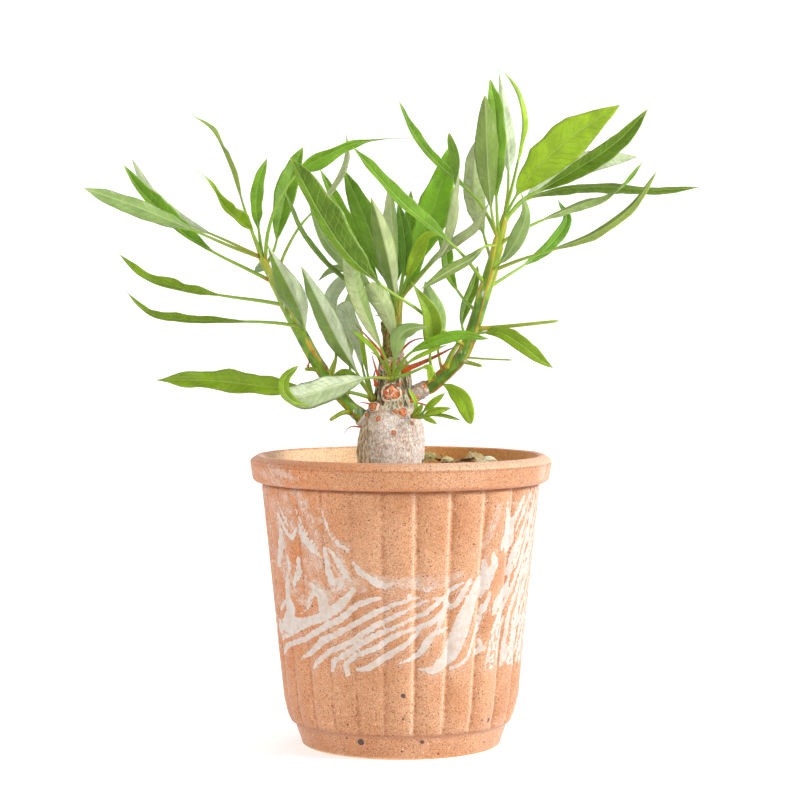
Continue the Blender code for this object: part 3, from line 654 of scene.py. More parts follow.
RIGHT_LEAVES = (
    Leaf((498, 242, -4), [(492, 215, -9), (489, 185, -14), (487, 150, -18), (486, 118, -21)],
         (485, 95, -23), 9.4, 180, 0.26, 32, 0.2, 0.5, tone=LeafTone.DARK, bare=-0.4),
    Leaf((499, 240, -4), [(497, 212, -8), (496, 180, -12), (497, 143, -15), (495, 108, -17)],
         (490, 79, -18), 6.4, 12, 0.26, 20, 0.4, 0.55, tone=LeafTone.MATURE),
    Leaf((504, 219, -4), [(508, 190, 2), (508, 160, 6), (505, 130, 9), (502, 98, 11)],
         (498, 66, 12), 6.6, 180, 0.34, 14, 0.8, 0.32, tone=LeafTone.CHALKY, bare=0.2),
    Leaf((504, 217, -4), [(513, 183, -5), (520, 150, -6), (523, 120, -7), (517, 93, -7)],
         (504, 71, -6), 4.8, 62, 0.35, 26, tone=LeafTone.LIME),
    Leaf((503, 220, -4), [(520, 190, -10), (545, 160, -17), (580, 131, -22)],
         (620, 105, -26), 12.4, 0, 0.18, 8, 0.9, 0.48, tone=LeafTone.LIME),
    Leaf((503, 223, -4), [(522, 200, -3), (548, 186, -3), (582, 166, -4), (618, 141, -5)],
         (648, 109, -6), 7.6, 16, 0.26, 30, 0.2, 0.5, tone=LeafTone.DARK),
    Leaf((503, 222, -4), [(535, 190, 7), (565, 170, 12), (600, 160, 16)],
         (637, 157, 19), 8.0, 182, 0.24, 12, 0.5, tone=LeafTone.CHALKY),
    Leaf((502, 227, -4), [(517, 206, 2), (538, 195, 6), (570, 188, 8), (610, 187, 9), (655, 190, 9)],
         (701, 187, 8), 5.2, 48, 0.2, 18, 0.2, tone=LeafTone.DARK),
    Leaf((491, 272, -4), [(507, 255, -13), (520, 232, -21), (526, 212, -26)],
         (521, 192, -29), 6.4, 182, 0.16, 36, 0.0, 0.42, tone=LeafTone.SAGE, bare=-0.4),
    Leaf((498, 248, -4), [(507, 239, -5), (536, 223, -2), (575, 207, 1), (615, 191, 3)],
         (643, 162, 5), 4.4, 150, 0.3, 20, 0.0, 0.5, -110, tone=LeafTone.MATURE),
    Leaf((492, 271, -4), [(520, 260, -7), (555, 249, -10), (595, 234, -12), (632, 207, -13)],
         (657, 171, -13), 3.6, 152, 0.3, 16, tone=LeafTone.OLIVE, bare=0.6),
    Leaf((485, 290, -4), [(510, 274, 2), (530, 261, 8), (552, 243, 12), (567, 220, 15)],
         (558, 200, 18), 4.4, 15, 0.36, tone=LeafTone.DEEP),
    Leaf((485, 284, -4), [(462, 254, -14), (435, 230, -20), (405, 205, -24), (378, 176, -25)],
         (352, 146, -25), 6.2, 36, 0.3, 26, 0.3, tone=LeafTone.MATURE),
    Leaf((499, 240, -4), [(482, 206, 2), (460, 183, 6), (438, 163, 10), (415, 135, 13)],
         (399, 101, 15), 4.8, 40, 0.34, tone=LeafTone.BRIGHT),
    Leaf((492, 264, -4), [(482, 228, 8), (474, 195, 15), (475, 160, 20)],
         (484, 128, 24), 8.2, 178, 0.26, 26, tone=LeafTone.PALE, bare=-0.4),
    Leaf((497, 246, -4), [(486, 246, -11), (470, 259, -15), (447, 272, -17)],
         (421, 289, -18), 4.0, 158, 0.25, tone=LeafTone.DARK),
    Leaf((479, 314, -4), [(462, 297, 4), (449, 274, 10), (446, 250, 14)],
         (436, 228, 17), 4.6, 14, 0.36, tone=LeafTone.MATURE),
    Leaf((469, 343, -3), [(462, 325, 4), (466, 305, 9), (473, 287, 12)],
         (478, 265, 14), 4.0, 8, 0.26, tone=LeafTone.DARK),
    Leaf((475, 333, -4), [(500, 333, -9), (520, 344, -13), (538, 358, -15)],
         (553, 368, -16), 5.8, -22, 0.1, 14, 0.0, 0.5, tone=LeafTone.OLIVE),
    Leaf((438, 381, 0), [(452, 390, -5), (464, 402, -8)], (471, 424, -10), 5.6, 14, 0.12, 3, 0.0, 0.6,
         tone=LeafTone.LIME),
    Leaf((466, 347, -3), [(441, 329, -13), (417, 309, -20), (385, 288, -25), (350, 257, -28),
         (325, 222, -29), (305, 186, -29)], (290, 157, -28), 12.4, 34, 0.45, 36, 0.6, 0.5,
         tone=LeafTone.DARK),
    Leaf((436, 381, 0), [(430, 360, -11), (432, 335, -17), (429, 312, -20)],
         (411, 281, -22), 7.4, 10, 0.4, 26, 0.0, 0.36, tone=LeafTone.OLIVE),
    Leaf((443, 375, -1), [(438, 350, -7), (436, 318, -10)], (425, 281, -12), 6.8, 176, 0.3,
         tone=LeafTone.SAGE),
)

FRONT_LEAVES = (
    Leaf((392, 378, -7.35), [(365, 378, -15), (343, 384, -21), (322, 390, -25), (302, 396, -28)],
         (282, 393, -30), 8.8, 180, 0.26, 10, 0.3, 0.6, tone=LeafTone.CHALKY, bare=0.4),
    Leaf((308, 406, -29), [(293, 401, -31), (284, 390, -32.5), (286, 377, -33)],
         (298, 366, -33), 3.6, 8, 0.03, 16, 0.0, 0.55, tone=LeafTone.OLIVE),
    Leaf((392, 377, -7.35), [(383, 352, -15), (370, 325, -20), (358, 295, -22), (350, 262, -20)],
         (348, 232, -19), 6.6, 184, 0.26, 30, 0.2, 0.52, tone=LeafTone.PALE, bare=-0.75),
    Leaf((392, 377, -7.35), [(395, 350, -12), (391, 325, -16), (382, 302, -18)],
         (368, 284, -17), 6.6, 184, 0.36, 20, 0.3, 0.76, tone=LeafTone.PALE, bare=-0.2),
    Leaf((393, 377, -7.35), [(396, 354, -17), (399, 338, -22), (409, 329, -26)],
         (430, 326, -29), 7.2, 182, 0.28, 40, 0.3, 0.42, tone=LeafTone.SAGE),
    Leaf((393, 377, -7.35), [(408, 355, -15), (428, 344, -21), (458, 335, -26)],
         (489, 339, -30), 4.0, 18, 0.3, 14, tone=LeafTone.FERN),
    Leaf((393, 378, -7.35), [(410, 373, -12), (425, 367, -15), (430.5, 370, -16)],
         (429, 383, -16), 2.4, 20, 0.6, tone=LeafTone.LIME),
    Leaf((391, 377, -7.35), [(378, 355, -11), (366, 341, -11)], (351, 330, -10), 1.8, 20, 0.3,
         tone=LeafTone.LIME),
    Leaf((393, 377, -7.35), [(408, 363, -13), (425, 353, -17)], (447, 345, -19), 1.7, 30, 0.3,
         tone=LeafTone.LIME),
)

SIDE_LEAVES = (
    Leaf((372, 398, -3.4), [(353, 366, -10), (337, 338, -16), (319, 302, -21)],
         (301, 266, -25), 9.2, 186, 0.22, 38, 0.2, 0.46, tone=LeafTone.CHALKY, bare=0.9),
    Leaf((372, 398, -3.4), [(348, 392, -8), (310, 389, -9), (270, 387, -10), (215, 381, -11)],
         (156, 380, -12), 8.4, 22, 0.3, 22, 1.2, 0.5, tone=LeafTone.OLIVE),
    Leaf((372, 397, -3.4), [(360, 382, -6), (350, 375, -8), (341, 374, -9)],
         (327, 383, -9.5), 3.2, 35, 0.3, tone=LeafTone.OLIVE),
    Leaf((372, 397, -3.4), [(364, 374, 2), (358, 345, 8), (350, 322, 8)],
         (342, 302, 12), 6.2, 175, 0.3, 10, 0.2, 0.82, tone=LeafTone.CHALKY),
    Leaf((372, 396, -3.4), [(368, 376, 0), (363, 350, 0)], (361, 326, 0), 1.8, 20, 0.3, tone=LeafTone.LIME),
)

SPROUT_LEAVES = (
    Leaf((412, 417, -8), [(416, 404, -11)], (408, 388, -12), 1.6, 20, 0.2, tone=LeafTone.LIME),
    Leaf((414, 417, -8.5), [(418, 411, -12)], (423, 404, -14), 2.2, 0, 0.2, tone=LeafTone.LIME),
    Leaf((419, 417, -9), [(430, 405, -12)], (445, 393, -14), 2.4, 10, 0.2, tone=LeafTone.LIME),
    Leaf((420, 417, -9), [(434, 411, -14)], (451, 408, -17), 2.6, 15, 0.15, tone=LeafTone.LIME),
    Leaf((420, 417, -9), [(440, 415, -10)], (461, 420, -11), 1.5, 20, 0.2, tone=LeafTone.LIME),
    Leaf((419, 417, -9), [(428, 419, -13)], (437, 424, -16), 1.8, 0, 0.2, tone=LeafTone.LIME),
)

# Spines and cut stalks: root, bend and tip in the picture, and the radius at the root in mm
CAUDEX_SPINES = (
    ((402, 371, -4), (428, 360, -8), (458, 345, -11), 0.95),
    ((398, 354, 3), (412, 341, -4), (431, 337, -8), 0.5),
    ((387, 360, -3), (374, 344, -6), (353, 322, -8), 0.55),
    ((379, 378, -3), (375, 366, -5), (371, 352, -6), 0.5),
    ((376, 385, -3), (374, 376, -5), (376, 368, -6), 0.55),
    ((381, 364, -1), (377, 356, -4), (370, 351, -5), 0.45),
    ((373, 405, -4), (366, 403, -8), (358, 402, -10), 0.4),
    ((362, 427, -2), (350, 427, -5), (342, 436, -6), 0.3),
    ((408, 400, -3), (436, 409, -8), (435, 419, -9), 0.4),
)
LEFT_SPINES = (
    ((326, 374, -4), (327, 369, -6), (327, 364, -8), 0.4),
    ((308, 366, -4), (309, 362, -6), (308, 358, -7), 0.35),
)
LEFT_STALKS = (
    ((326, 379, -4), (317, 370, -6), (305, 369, -8), 0.95),
    ((351, 412, -2.5), (342, 413, -6), (330, 420, -8), 0.9),
    ((332, 380, -5), (331, 371, -7), (336, 358, -8), 0.8),
)
RIGHT_SPINES = (
    ((447, 370, -2), (441, 365, -5), (438, 359, -7), 0.45),
)
RIGHT_STALKS = (
    ((461, 357, -2), (488, 359, -5), (512, 360, -7), 0.38),
    ((477, 329, -4), (520, 325, -8), (558, 321, -10), 0.75),
    ((457, 360, -2), (470, 363, -4), (482, 366, -5), 0.85),
    ((446, 367, -3), (451, 355, -4.5), (459, 342, -5), 1.0),
)
MIDDLE_SPINES = (((397, 318, 5), (384, 317, 1), (371, 314, -2), 0.4),)

# The caudex: picture y, picture x of its middle and radius in mm, and the taproot's height, x and radius
CAUDEX_RINGS = (
    (472, 391.5, 10.6), (460, 391.5, 11.2), (442, 391.5, 11.1), (430, 392, 10.7), (420, 392, 9.8),
    (412, 392, 8.6), (404, 392, 7.2), (394, 392.5, 6.2), (382, 393.5, 5.7), (370, 393.5, 5.4),
    (362, 393, 4.6), (357, 393, 3.4),
)
TAPROOT_RINGS = ((30, -2.5, 1.0), (48, -2.6, 4.0), (66, -2.8, 7.4), (80, -3.0, 9.8))
LEFT_SHOULDER = ((384, 428, 0, 3.6), (370, 422, -1, 3.6), (361, 416, -1.8, 2.7))
RIGHT_SHOULDER = ((398, 398, 0.5, 3.3), (413, 394, 0.5, 3.0), (427, 387.5, 0.2, 2.45))
MIDDLE_SHOULDER = ((393, 374, 1, 3.6), (396, 360, 3.5, 2.5), (397, 351, 4.3, 1.9))
DEAD_STUB = ((390, 366, -1, 2.7), (389, 350, -1, 2.6), (387, 334, -1, 2.0), (385.5, 321, -1, 1.1))
BUD_SHOULDER = ((385, 412, -1, 3.4), (377, 408.5, -3, 2.8), (373, 406.5, -4, 2.1))
# Bud scars on the shoulders: picture x, y and depth, the way they face, and the radius in mm
SHOULDER_SCARS = (
    ((424.5, 386.5, -2.2), (0.25, -1.0, 0.25), 1.25), ((373.5, 406.5, -6.2), (-0.5, -0.85, 0.2), 1.7),
    ((417, 397, -2.6), (0.1, -1.0, -0.3), 0.8), ((366.5, 415, -4.6), (-0.2, -1.0, 0.1), 0.7),
)
# Bud scars on the trunk: picture x and y, and the radius in mm
BUD_SCARS = (
    (392, 392.5, 3.3), (402.5, 412.5, 1.8), (396, 411.5, 1.05), (378.5, 419, 1.15),
    (393.5, 432.5, 0.85), (412, 423, 0.8), (360.5, 411, 0.75), (359, 427, 0.7),
    (376, 383, 1.2), (386, 366, 2.1), (400, 361, 1.3),
)


class LeafFinish:
    """Satin leaf blade: net of side veins off a pale midrib, brighter above and chalky pale beneath."""

    def build(self) -> Material:
        """The material, which reads the blade's own attributes.

        Returns:
            The leaf material.
        """
        w = Weave("leaf_blade", 0.5, 0.3)
        along, across, share = w.split(w.attribute("blade", "Vector"))
        above = w.rise(w.attribute("side"), -0.15, 0.15)
        stalk = w.attribute("stalk")
        blade_only = w.rest(stalk)
        off = w.math("ABSOLUTE", across)
        row = w.sum(w.product(along, 0.36), w.product(off, -0.40), w.product(w.swing(3.5, 1), 1.1))
        vein = w.rise(w.math("COSINE", w.product(row, 2 * math.pi)), 0.80, 1.0)
        vein = w.product(vein, w.rise(off, 0.1, 0.5), blade_only)
        net = w.rise(w.cells(0.9, "DISTANCE_TO_EDGE").outputs["Distance"], 0.12, 0.0)
        midrib = w.product(w.rise(off, 0.26, 0.08), blade_only)
        broad = w.noise(6, 3)
        fine = w.noise(0.6, 2)
        streak = w.noise(1000, 3, w.stretch((0.14, 1.7, 0.0), w.attribute("blade", "Vector")))
        margin = w.product(w.rise(w.math("ABSOLUTE", w.attribute("side")), 0.5, 0.1), blade_only)
        upper = w.coats(
            w.shade(w.attribute("upper", "Vector"), w.rise(broad, 0.3, 0.7, 0.84, 1.16)),
            (vein, 0.22, srgb(158, 184, 66)),
            (w.rise(streak, 0.52, 0.68, 0.0, 0.22), srgb(150, 182, 62)),
            (net, 0.16, srgb(54, 92, 16)),
            (midrib, 0.45, srgb(172, 192, 104)))
        lower = w.coats(
            w.shade(w.attribute("lower", "Vector"), w.rise(broad, 0.3, 0.7, 0.84, 1.14)),
            (vein, 0.20, srgb(104, 132, 66)),
            (w.rise(streak, 0.50, 0.34, 0.0, 0.3), srgb(110, 144, 58)),
            (w.rise(streak, 0.54, 0.70, 0.0, 0.16), srgb(206, 212, 182)),
            (net, 0.25, srgb(108, 134, 70)),
            (midrib, 0.55, srgb(176, 190, 130)))
        blade = w.coats(
            w.mix(above, lower, upper),
            (margin, 0.45, srgb(178, 198, 104)),
            (w.rise(fine, 0.60, 0.76), 0.09, srgb(206, 214, 140)),
            (w.rise(share, 0.94, 1.0), 0.4, srgb(176, 166, 70)))
        shaft = w.coats(
            srgb(176, 118, 40),
            (w.rise(share, -1.0, -0.86), srgb(132, 164, 54)),
            (w.rest(above), w.rise(share, 0.0, -0.8), 0.25, srgb(182, 116, 44)))
        colour = w.mix(stalk, blade, shaft)
        w.shader.inputs["Subsurface Weight"].default_value = 0.12
        w.shader.inputs["Subsurface Radius"].default_value = (0.6, 1.0, 0.25)
        w.shader.inputs["Subsurface Scale"].default_value = 0.4 * MM
        return w.finish(colour, (vein, -0.10), (midrib, -0.12), (broad, 0.5), (fine, 0.05))


class SpineFinish:
    """Hard glossy spine, red-brown at the root and dark at the tip."""

    def build(self) -> Material:
        """The material, which reads the share of the spine's length."""
        w = Weave("woody_spine", 0.38)
        share = w.attribute("share")
        grain = w.noise(0.8, 2)
        colour = w.coats(srgb(222, 100, 36), (w.rise(share, 0.05, 0.7), srgb(158, 70, 32)),
                         (w.rise(share, 0.7, 1.0), srgb(88, 42, 28)))
        colour = w.shade(colour, w.rise(grain, 0.3, 0.7, 0.8, 1.25))
        return w.finish(colour, (grain, 0.08))


class StemFinish:
    """Green stem bark: orange-brown ridges down from each leaf, yellow faces and silvery wax between."""

    def build(self) -> Material:
        """The material, which reads the ridges' height and the stem's age."""
        w = Weave("stem_bark", 0.36, 0.4)
        ridge = w.attribute("ridge")
        age = w.attribute("age")
        broad = w.noise(4, 3)
        streak = w.noise(1.2, 3, w.tall(0.22))
        patches = w.sum(w.noise(3.0, 3, w.tall(0.45)), w.product(age, 0.05))
        wax = w.product(w.rise(patches, 0.62, 0.68), w.rise(ridge, 0.3, 0.1), 0.85)
        edge = w.sum(ridge, w.product(w.math("SUBTRACT", streak, 0.5), 0.6))
        ochre = w.mix(w.rise(broad, 0.4, 0.6), srgb(166, 104, 18), srgb(190, 150, 44))
        colour = w.coats(
            srgb(74, 110, 10),
            (w.rise(broad, 0.35, 0.6), srgb(108, 146, 24)),
            (w.rise(streak, 0.52, 0.75), 0.6, srgb(156, 158, 46)),
            (w.rise(age, 0.5, 0.1, 0.0, 0.6), srgb(150, 166, 40)),
            (wax, w.mix(w.rise(streak, 0.4, 0.6), srgb(150, 162, 146), srgb(206, 212, 204))),
            (w.rise(edge, 0.38, 0.72), w.mix(w.rise(age, 0.25, 0.6), srgb(168, 158, 38), ochre)),
            (w.grains(1.1, 0.2, 0.2), 0.5, srgb(112, 78, 34)))
        return w.finish(colour, (streak, 0.14), (w.noise(0.6, 2), 0.05))


@dataclass(frozen=True)
class FoliageFinishes:
    """The materials that every leafy piece shares."""

    leaf: Material
    stem: Material
    spine: Material

    @classmethod
    def build(cls) -> "FoliageFinishes":
        """All three materials."""
        return cls(LeafFinish().build(), StemFinish().build(), SpineFinish().build())


@dataclass
class BladeMaker:
    """Turns a leaf's plan into a closed blade on a round stalk, finely divided."""

    stalk_rows: int = 9
    blade_rows: int = 40
    half_columns: int = 7
    root_radius: float = 0.6
    stalk_radius: float = 0.38
    tip_radius: float = 0.09
    blade_thickness: float = 0.34
    flatten_over: float = 1.2
    ripples: float = 21.0
    rise_power: float = 0.93
    undulation: float = 0.42
    outline_wave: float = 0.11
    crease_power: float = 1.25
    row_power: float = 1.25
    column_power: float = 1.4
    groove: float = 0.16
    rib: float = 0.28
    bright_spread: float = 0.09
    # Dark green of the underside's half painted in shade
    shaded_half_colour: Colour = srgb(92, 120, 14)

    def stations(self, leaf: Leaf) -> tuple[Array, Array]:
        """Shares of the route at the rows, and each row's t: -1 to 0 up the stalk, 0 to 1 up the blade.

        Args:
            leaf: the leaf's plan.

        Returns:
            The shares and the values of t.
        """
        stalk = np.linspace(-1, 0, self.stalk_rows, endpoint=False)
        blade = 1 - (1 - np.linspace(0, 1, self.blade_rows)) ** self.row_power
        t = np.concatenate((stalk, blade))
        share = np.where(t < 0, leaf.petiole * (1 + t), leaf.petiole + (1 - leaf.petiole) * t)
        return share, t

    def half_width(self, leaf: Leaf, t: Array) -> Array:
        """Half the blade's width: (t/w)^a ((1-t)/(1-w))^b, 1 at t = w, times half the full width."""
        inside = np.clip(t, 0.0, 1.0)
        fall_power = self.rise_power * (1 - leaf.widest) / leaf.widest
        grow = (inside / leaf.widest) ** self.rise_power
        return leaf.width / 2 * grow * ((1 - inside) / (1 - leaf.widest)) ** fall_power

    def patch(self, leaf: Leaf, number: int) -> Patch:
        """The leaf as a closed grid.

        A section is a flat lens: its middle line is a soft V, |x|^1.25 sin(fold), its half thickness falls
        to the margins as (1 - |x|^n)^(1/n), a groove runs above the midrib and a rib beneath it, and the
        margins ripple along the leaf.

        Args:
            leaf: the leaf's plan.
            number: the leaf's number, which seeds its small unevenness.

        Returns:
            The patch with the attributes blade, side, stalk, upper and lower.
        """
        route = Route(VIEW.route((leaf.root, *leaf.bends, leaf.tip)))
        share, t = self.stations(leaf)
        along = share * route.length
        turn = leaf.roll + leaf.twist * smoothstep(0.35, 0.95, t)
        facing, across = section_axes(route.ahead(share), turn)
        thin = np.where(t < 0, self.root_radius + (self.stalk_radius - self.root_radius) * (t + 1),
                        self.stalk_radius + (self.tip_radius - self.stalk_radius) * np.clip(t * 3, 0, 1))
        half = np.maximum(thin, self.half_width(leaf, t))
        flat = np.clip((half - thin) / self.flatten_over, 0, 1)
        run = np.linspace(-1, 1, 2 * self.half_columns + 1)
        spaced = np.sign(run) * np.abs(run) ** self.column_power
        x = np.concatenate((spaced, spaced[-2:0:-1]))
        upper = np.concatenate((np.ones(len(run)), -np.ones(len(run) - 2)))
        upper[np.abs(x) > 0.999] = 0.0
        power = 2 + 3 * flat[:, None]
        thick = np.maximum(thin * (1 - flat), self.blade_thickness / 2 * flat)[:, None]
        lens = thick * (1 - np.abs(x)[None, :] ** power) ** (1 / power)
        round_x = np.where(flat[:, None] > 0.02, x, np.sin(x * np.pi / 2))
        seeded = np.stack((along[:, None] / 5 + 0 * x, 1.3 * np.sign(x) + 0 * along[:, None],
                           np.full((len(along), len(x)), 3.7 * number)), axis=-1)
        uneven = NOISE.layered(seeded, 1.0, 2)
        ripple = leaf.wave * np.sin(np.clip(t, 0, 1) * self.ripples)[:, None] * -np.sign(x)
        margin = flat[:, None] * np.abs(x) ** 2 * (ripple + self.undulation * uneven)
        fold = np.radians(leaf.fold) * flat
        lobes = 1 + self.outline_wave * flat[:, None] * uneven
        sideways = half[:, None] * np.cos(fold)[:, None] * round_x * lobes
        bowl = half[:, None] * np.sin(fold)[:, None] * np.abs(x) ** self.crease_power
        offset = np.abs(x) * half[:, None]
        groove = -self.groove * flat[:, None] * swell(offset, 0, 0.35) * (upper > 0)
        rib = -self.rib * flat[:, None] * (1 - np.clip(t, 0, 1))[:, None] ** 0.5
        rib = rib * swell(offset, 0, 0.4) * (upper < 0)
        height = bowl + margin + upper * lens + groove + rib
        points = (route.at(share)[:, None] + sideways[..., None] * across[:, None]
                  + height[..., None] * facing[:, None])
        shape = points.shape[:2]
        bright = 1 + self.bright_spread * np.random.default_rng(number).uniform(-1, 1)
        top, under = (np.array(colour) * bright for colour in leaf.tone.value)
        # Painted shade: the half of the underside away from the light turns dark green, by the leaf's share
        seen_right = x[None, :] * np.cos(np.radians(turn))[:, None]
        bare = abs(leaf.bare) * np.clip(-5 * np.sign(leaf.bare) * seen_right + 0.3, 0, 1)[..., None]
        under = under * (1 - bare) + np.array(self.shaded_half_colour) * bare
        blade = np.stack((np.broadcast_to(along[:, None], shape), sideways,
                          np.broadcast_to(t[:, None], shape)), axis=-1)
        stalk = smoothstep(0.35, 0.0, flat)
        return closed_grid(points, {
            "blade": blade,
            "side": np.broadcast_to(upper, shape),
            "stalk": np.broadcast_to(stalk[:, None], shape),
            "upper": np.broadcast_to(top, (*shape, 3)),
            "lower": np.broadcast_to(under, (*shape, 3)),
        })


@dataclass
class Spines:
    """Curved tapering spines."""

    rows: int = 14
    columns: int = 12
    sharpness: float = 0.85

    def patch(self, plan: tuple) -> Patch:
        """One spine: rings on a route, the radius falling as 1 - 0.85 share^1.2, with a swollen foot.

        Args:
            plan: places of root, bend and tip, and the root's radius.

        Returns:
            The patch with the attribute share.
        """
        *places, radius = plan
        route = Route(VIEW.route(places))
        share = np.linspace(0, 1, self.rows) ** 0.9
        size = radius * (1 - self.sharpness * share**1.2) * (1 + 0.5 * np.exp(-share * 14))
        size = size * (1 - 0.7 * smoothstep(0.8, 1.0, share))
        rings = np.repeat(size[:, None], self.columns, axis=1)
        points = tube_points(route.at(share), route.ahead(share, 0.06), rings)
        return closed_grid(points, {"share": np.repeat(share[:, None], self.columns, axis=1)})


@dataclass
class LeafyStem:
    """A green stem with the leaves, spines and leafless stalks that spring from it."""

    node: str
    route: Sequence[tuple]
    leaves: Sequence[Leaf]
    shoulder: Sequence[tuple] = ()
    spines: Sequence[tuple] = ()
    stalks: Sequence[tuple] = ()
    first_number: int = 0
    rows_per_mm: float = 2.4
    columns: int = 72
    rib_count: int = 4
    rib_height: float = 0.07
    rib_twist: float = 0.05
    node_bump: float = 0.5
    node_head: float = 1.3
    node_trail: float = 7.5
    node_width: float = 0.26
    stalk_rows: int = 16
    stalk_columns: int = 16

    def stem_patch(self) -> Patch:
        """The stem: rings on its route, whose radius swells at each leaf and in a ridge below it.

        radius = R (1 + ribs + noise) + bump exp(-(d/head)^2) above a leaf's root and exp(-(d/trail)^2)
        below it, times exp(-(turn/width)^2) round the stem. The ribs are narrow: cos^2 raised to a power.

        Returns:
            The patch with the attributes ridge and age.
        """
        places = VIEW.route(self.route)
        radii = np.array([p[3] for p in self.route], float)
        if self.shoulder:
            end = VIEW.route(self.shoulder)
            places = np.vstack((end[-1] - 0.2 * unit(end[-1] - end[-2]), places))
            radii = np.concatenate(((self.shoulder[-1][3] * 0.98,), radii))
        route = Route(places)
        rows = max(8, int(route.length * self.rows_per_mm))
        share = np.linspace(0, 1, rows)
        ahead = route.ahead(share, 0.03)
        marks = np.array([np.argmin(np.linalg.norm(route.dense - place, axis=1)) for place in places])
        radius = np.interp(share * route.length, route.run[marks], radii)
        radius = np.convolve(np.pad(radius, 4, "edge"), np.ones(9) / 9, "valid")
        turns = full_turn(self.columns)
        along = share * route.length
        around = self.rib_count * turns[None, :] / 2 + along[:, None] * self.rib_twist + 0.9
        ribs = np.cos(around) ** 8
        facing, across = section_axes(ahead)
        lift = np.zeros((rows, self.columns))
        for leaf in self.leaves:
            lift = np.maximum(lift, self.leaf_ridge(leaf, route, along, turns, facing, across))
        spokes = tube_points(route.at(share), ahead, np.repeat(radius[:, None], self.columns, axis=1))
        rough = NOISE.layered(spokes, 2.6, 3) * 0.09
        ends = smoothstep(0, 0.6, along)[:, None]
        size = radius[:, None] * (1 + self.rib_height * ribs) + ends * (rough + self.node_bump * lift)
        age = np.repeat(1 - share[:, None], self.columns, axis=1)
        ridge = np.clip(np.maximum(lift, 0.8 * smoothstep(0.55, 1.0, ribs)), 0, 1)
        return closed_grid(tube_points(route.at(share), ahead, size), {"ridge": ridge, "age": age})

    def leaf_ridge(self, leaf: Leaf, route: Route, along: Array, turns: Array, facing: Array,
                   across: Array) -> Array:
        """The swelling under one leaf, from 0 to 1 on the stem's grid.

        Args:
            leaf: the leaf's plan.
            route: the stem's route.
            along: mm along the stem of each row.
            turns: turn round the stem of each column.
            facing: first section axis by row.
            across: second section axis by row.

        Returns:
            Array of rows and columns.
        """
        places = VIEW.route((leaf.root, leaf.bends[0]))
        at = route.run[np.argmin(np.linalg.norm(route.dense - places[0], axis=1))]
        row = int(np.argmin(np.abs(along - at)))
        away = places[1] - places[0]
        turn = math.atan2(float(away @ across[row]), float(away @ facing[row]))
        gap = along - at
        down = swell(gap, 0, np.where(gap > 0, self.node_head, self.node_trail))
        apart = np.angle(np.exp(1j * (turns - turn)))
        return down[:, None] * swell(apart, 0, self.node_width)[None, :]

    def stalk_patch(self, plan: tuple) -> Patch:
        """A leafless stalk that ends blunt, orange at its root and along its underside.

        Args:
            plan: places of root, bend and tip, and the root's radius.

        Returns:
            The patch with the attributes ridge and age.
        """
        *places, radius = plan
        route = Route(VIEW.route(places))
        share = np.linspace(0, 1, self.stalk_rows)
        size = radius * (1 - 0.35 * share) * (1 + 0.4 * np.exp(-share * 14)) * smoothstep(1.06, 0.96, share)
        rings = np.repeat(size[:, None], self.stalk_columns, axis=1)
        points = tube_points(route.at(share), route.ahead(share, 0.06), rings)
        below = smoothstep(0.1, -0.7, (points[..., 2] - route.at(share)[:, None, 2]) / radius)
        ridge = np.maximum(0.8 * below, smoothstep(0.3, 0.05, share)[:, None])
        return closed_grid(points, {"ridge": ridge, "age": np.zeros(ridge.shape)})

    def build(self, finishes: FoliageFinishes) -> list[bpy.types.Object]:
        """Makes the stem, its leaves and its spines as pieces of their own.

        Args:
            finishes: the shared materials.

        Returns:
            The pieces.
        """
        maker, spikes = BladeMaker(), Spines()
        blades = [maker.patch(leaf, self.first_number + i) for i, leaf in enumerate(self.leaves)]
        bark = [self.stem_patch()] + [self.stalk_patch(plan) for plan in self.stalks]
        pieces = [mesh_object(f"{self.node}_leaves", blades, finishes.leaf),
                  mesh_object(f"{self.node}_bark", bark, finishes.stem)]
        points = [spikes.patch(plan) for plan in self.spines]
        if points:
            pieces.append(mesh_object(f"{self.node}_spines", points, finishes.spine))
        for piece in pieces:
            take_place(piece, "leaf_green", self.node)
        return pieces


@dataclass
class LeafTuft:
    """Leaves that spring from one short spur on the caudex."""

    node: str
    leaves: Sequence[Leaf]
    first_number: int
    spur_radius: float = 1.5
    spur_rows: int = 20
    spur_columns: int = 32
    spur_folds: int = 7

    def spur_patch(self) -> Patch:
        """The spur: a ball r(1 + 0.06 folds) whose folds run from pole to pole, with noise on top.

        Returns:
            The patch with the attributes ridge and age.
        """
        centre = VIEW.place(*self.leaves[0].root)
        tilt = np.linspace(0.06, np.pi - 0.06, self.spur_rows)[:, None]
        turn = full_turn(self.spur_columns)[None, :]
        way = np.stack(np.broadcast_arrays(np.sin(tilt) * np.sin(turn), -np.sin(tilt) * np.cos(turn),
                                           -np.cos(tilt)), axis=-1)
        folds = np.cos(self.spur_folds * turn) * np.sin(tilt)
        size = self.spur_radius * (1 + 0.06 * folds) + 0.16 * NOISE.layered(way * 3 + centre, 1.2)
        ridge = 0.35 + 0.4 * np.maximum(folds, 0)
        age = np.full(ridge.shape, 0.6)
        return closed_grid(centre + way * size[..., None], {"ridge": ridge, "age": age})

    def build(self, finishes: FoliageFinishes) -> list[bpy.types.Object]:
        """Makes the spur and its leaves.

        Args:
            finishes: the shared materials.

        Returns:
            The pieces.
        """
        maker = BladeMaker()
        blades = [maker.patch(leaf, self.first_number + i) for i, leaf in enumerate(self.leaves)]
        pieces = [mesh_object(f"{self.node}_leaves", blades, finishes.leaf),
                  mesh_object(f"{self.node}_spur", [self.spur_patch()], finishes.stem)]
        for piece in pieces:
            take_place(piece, "leaf_green", self.node)
        return pieces


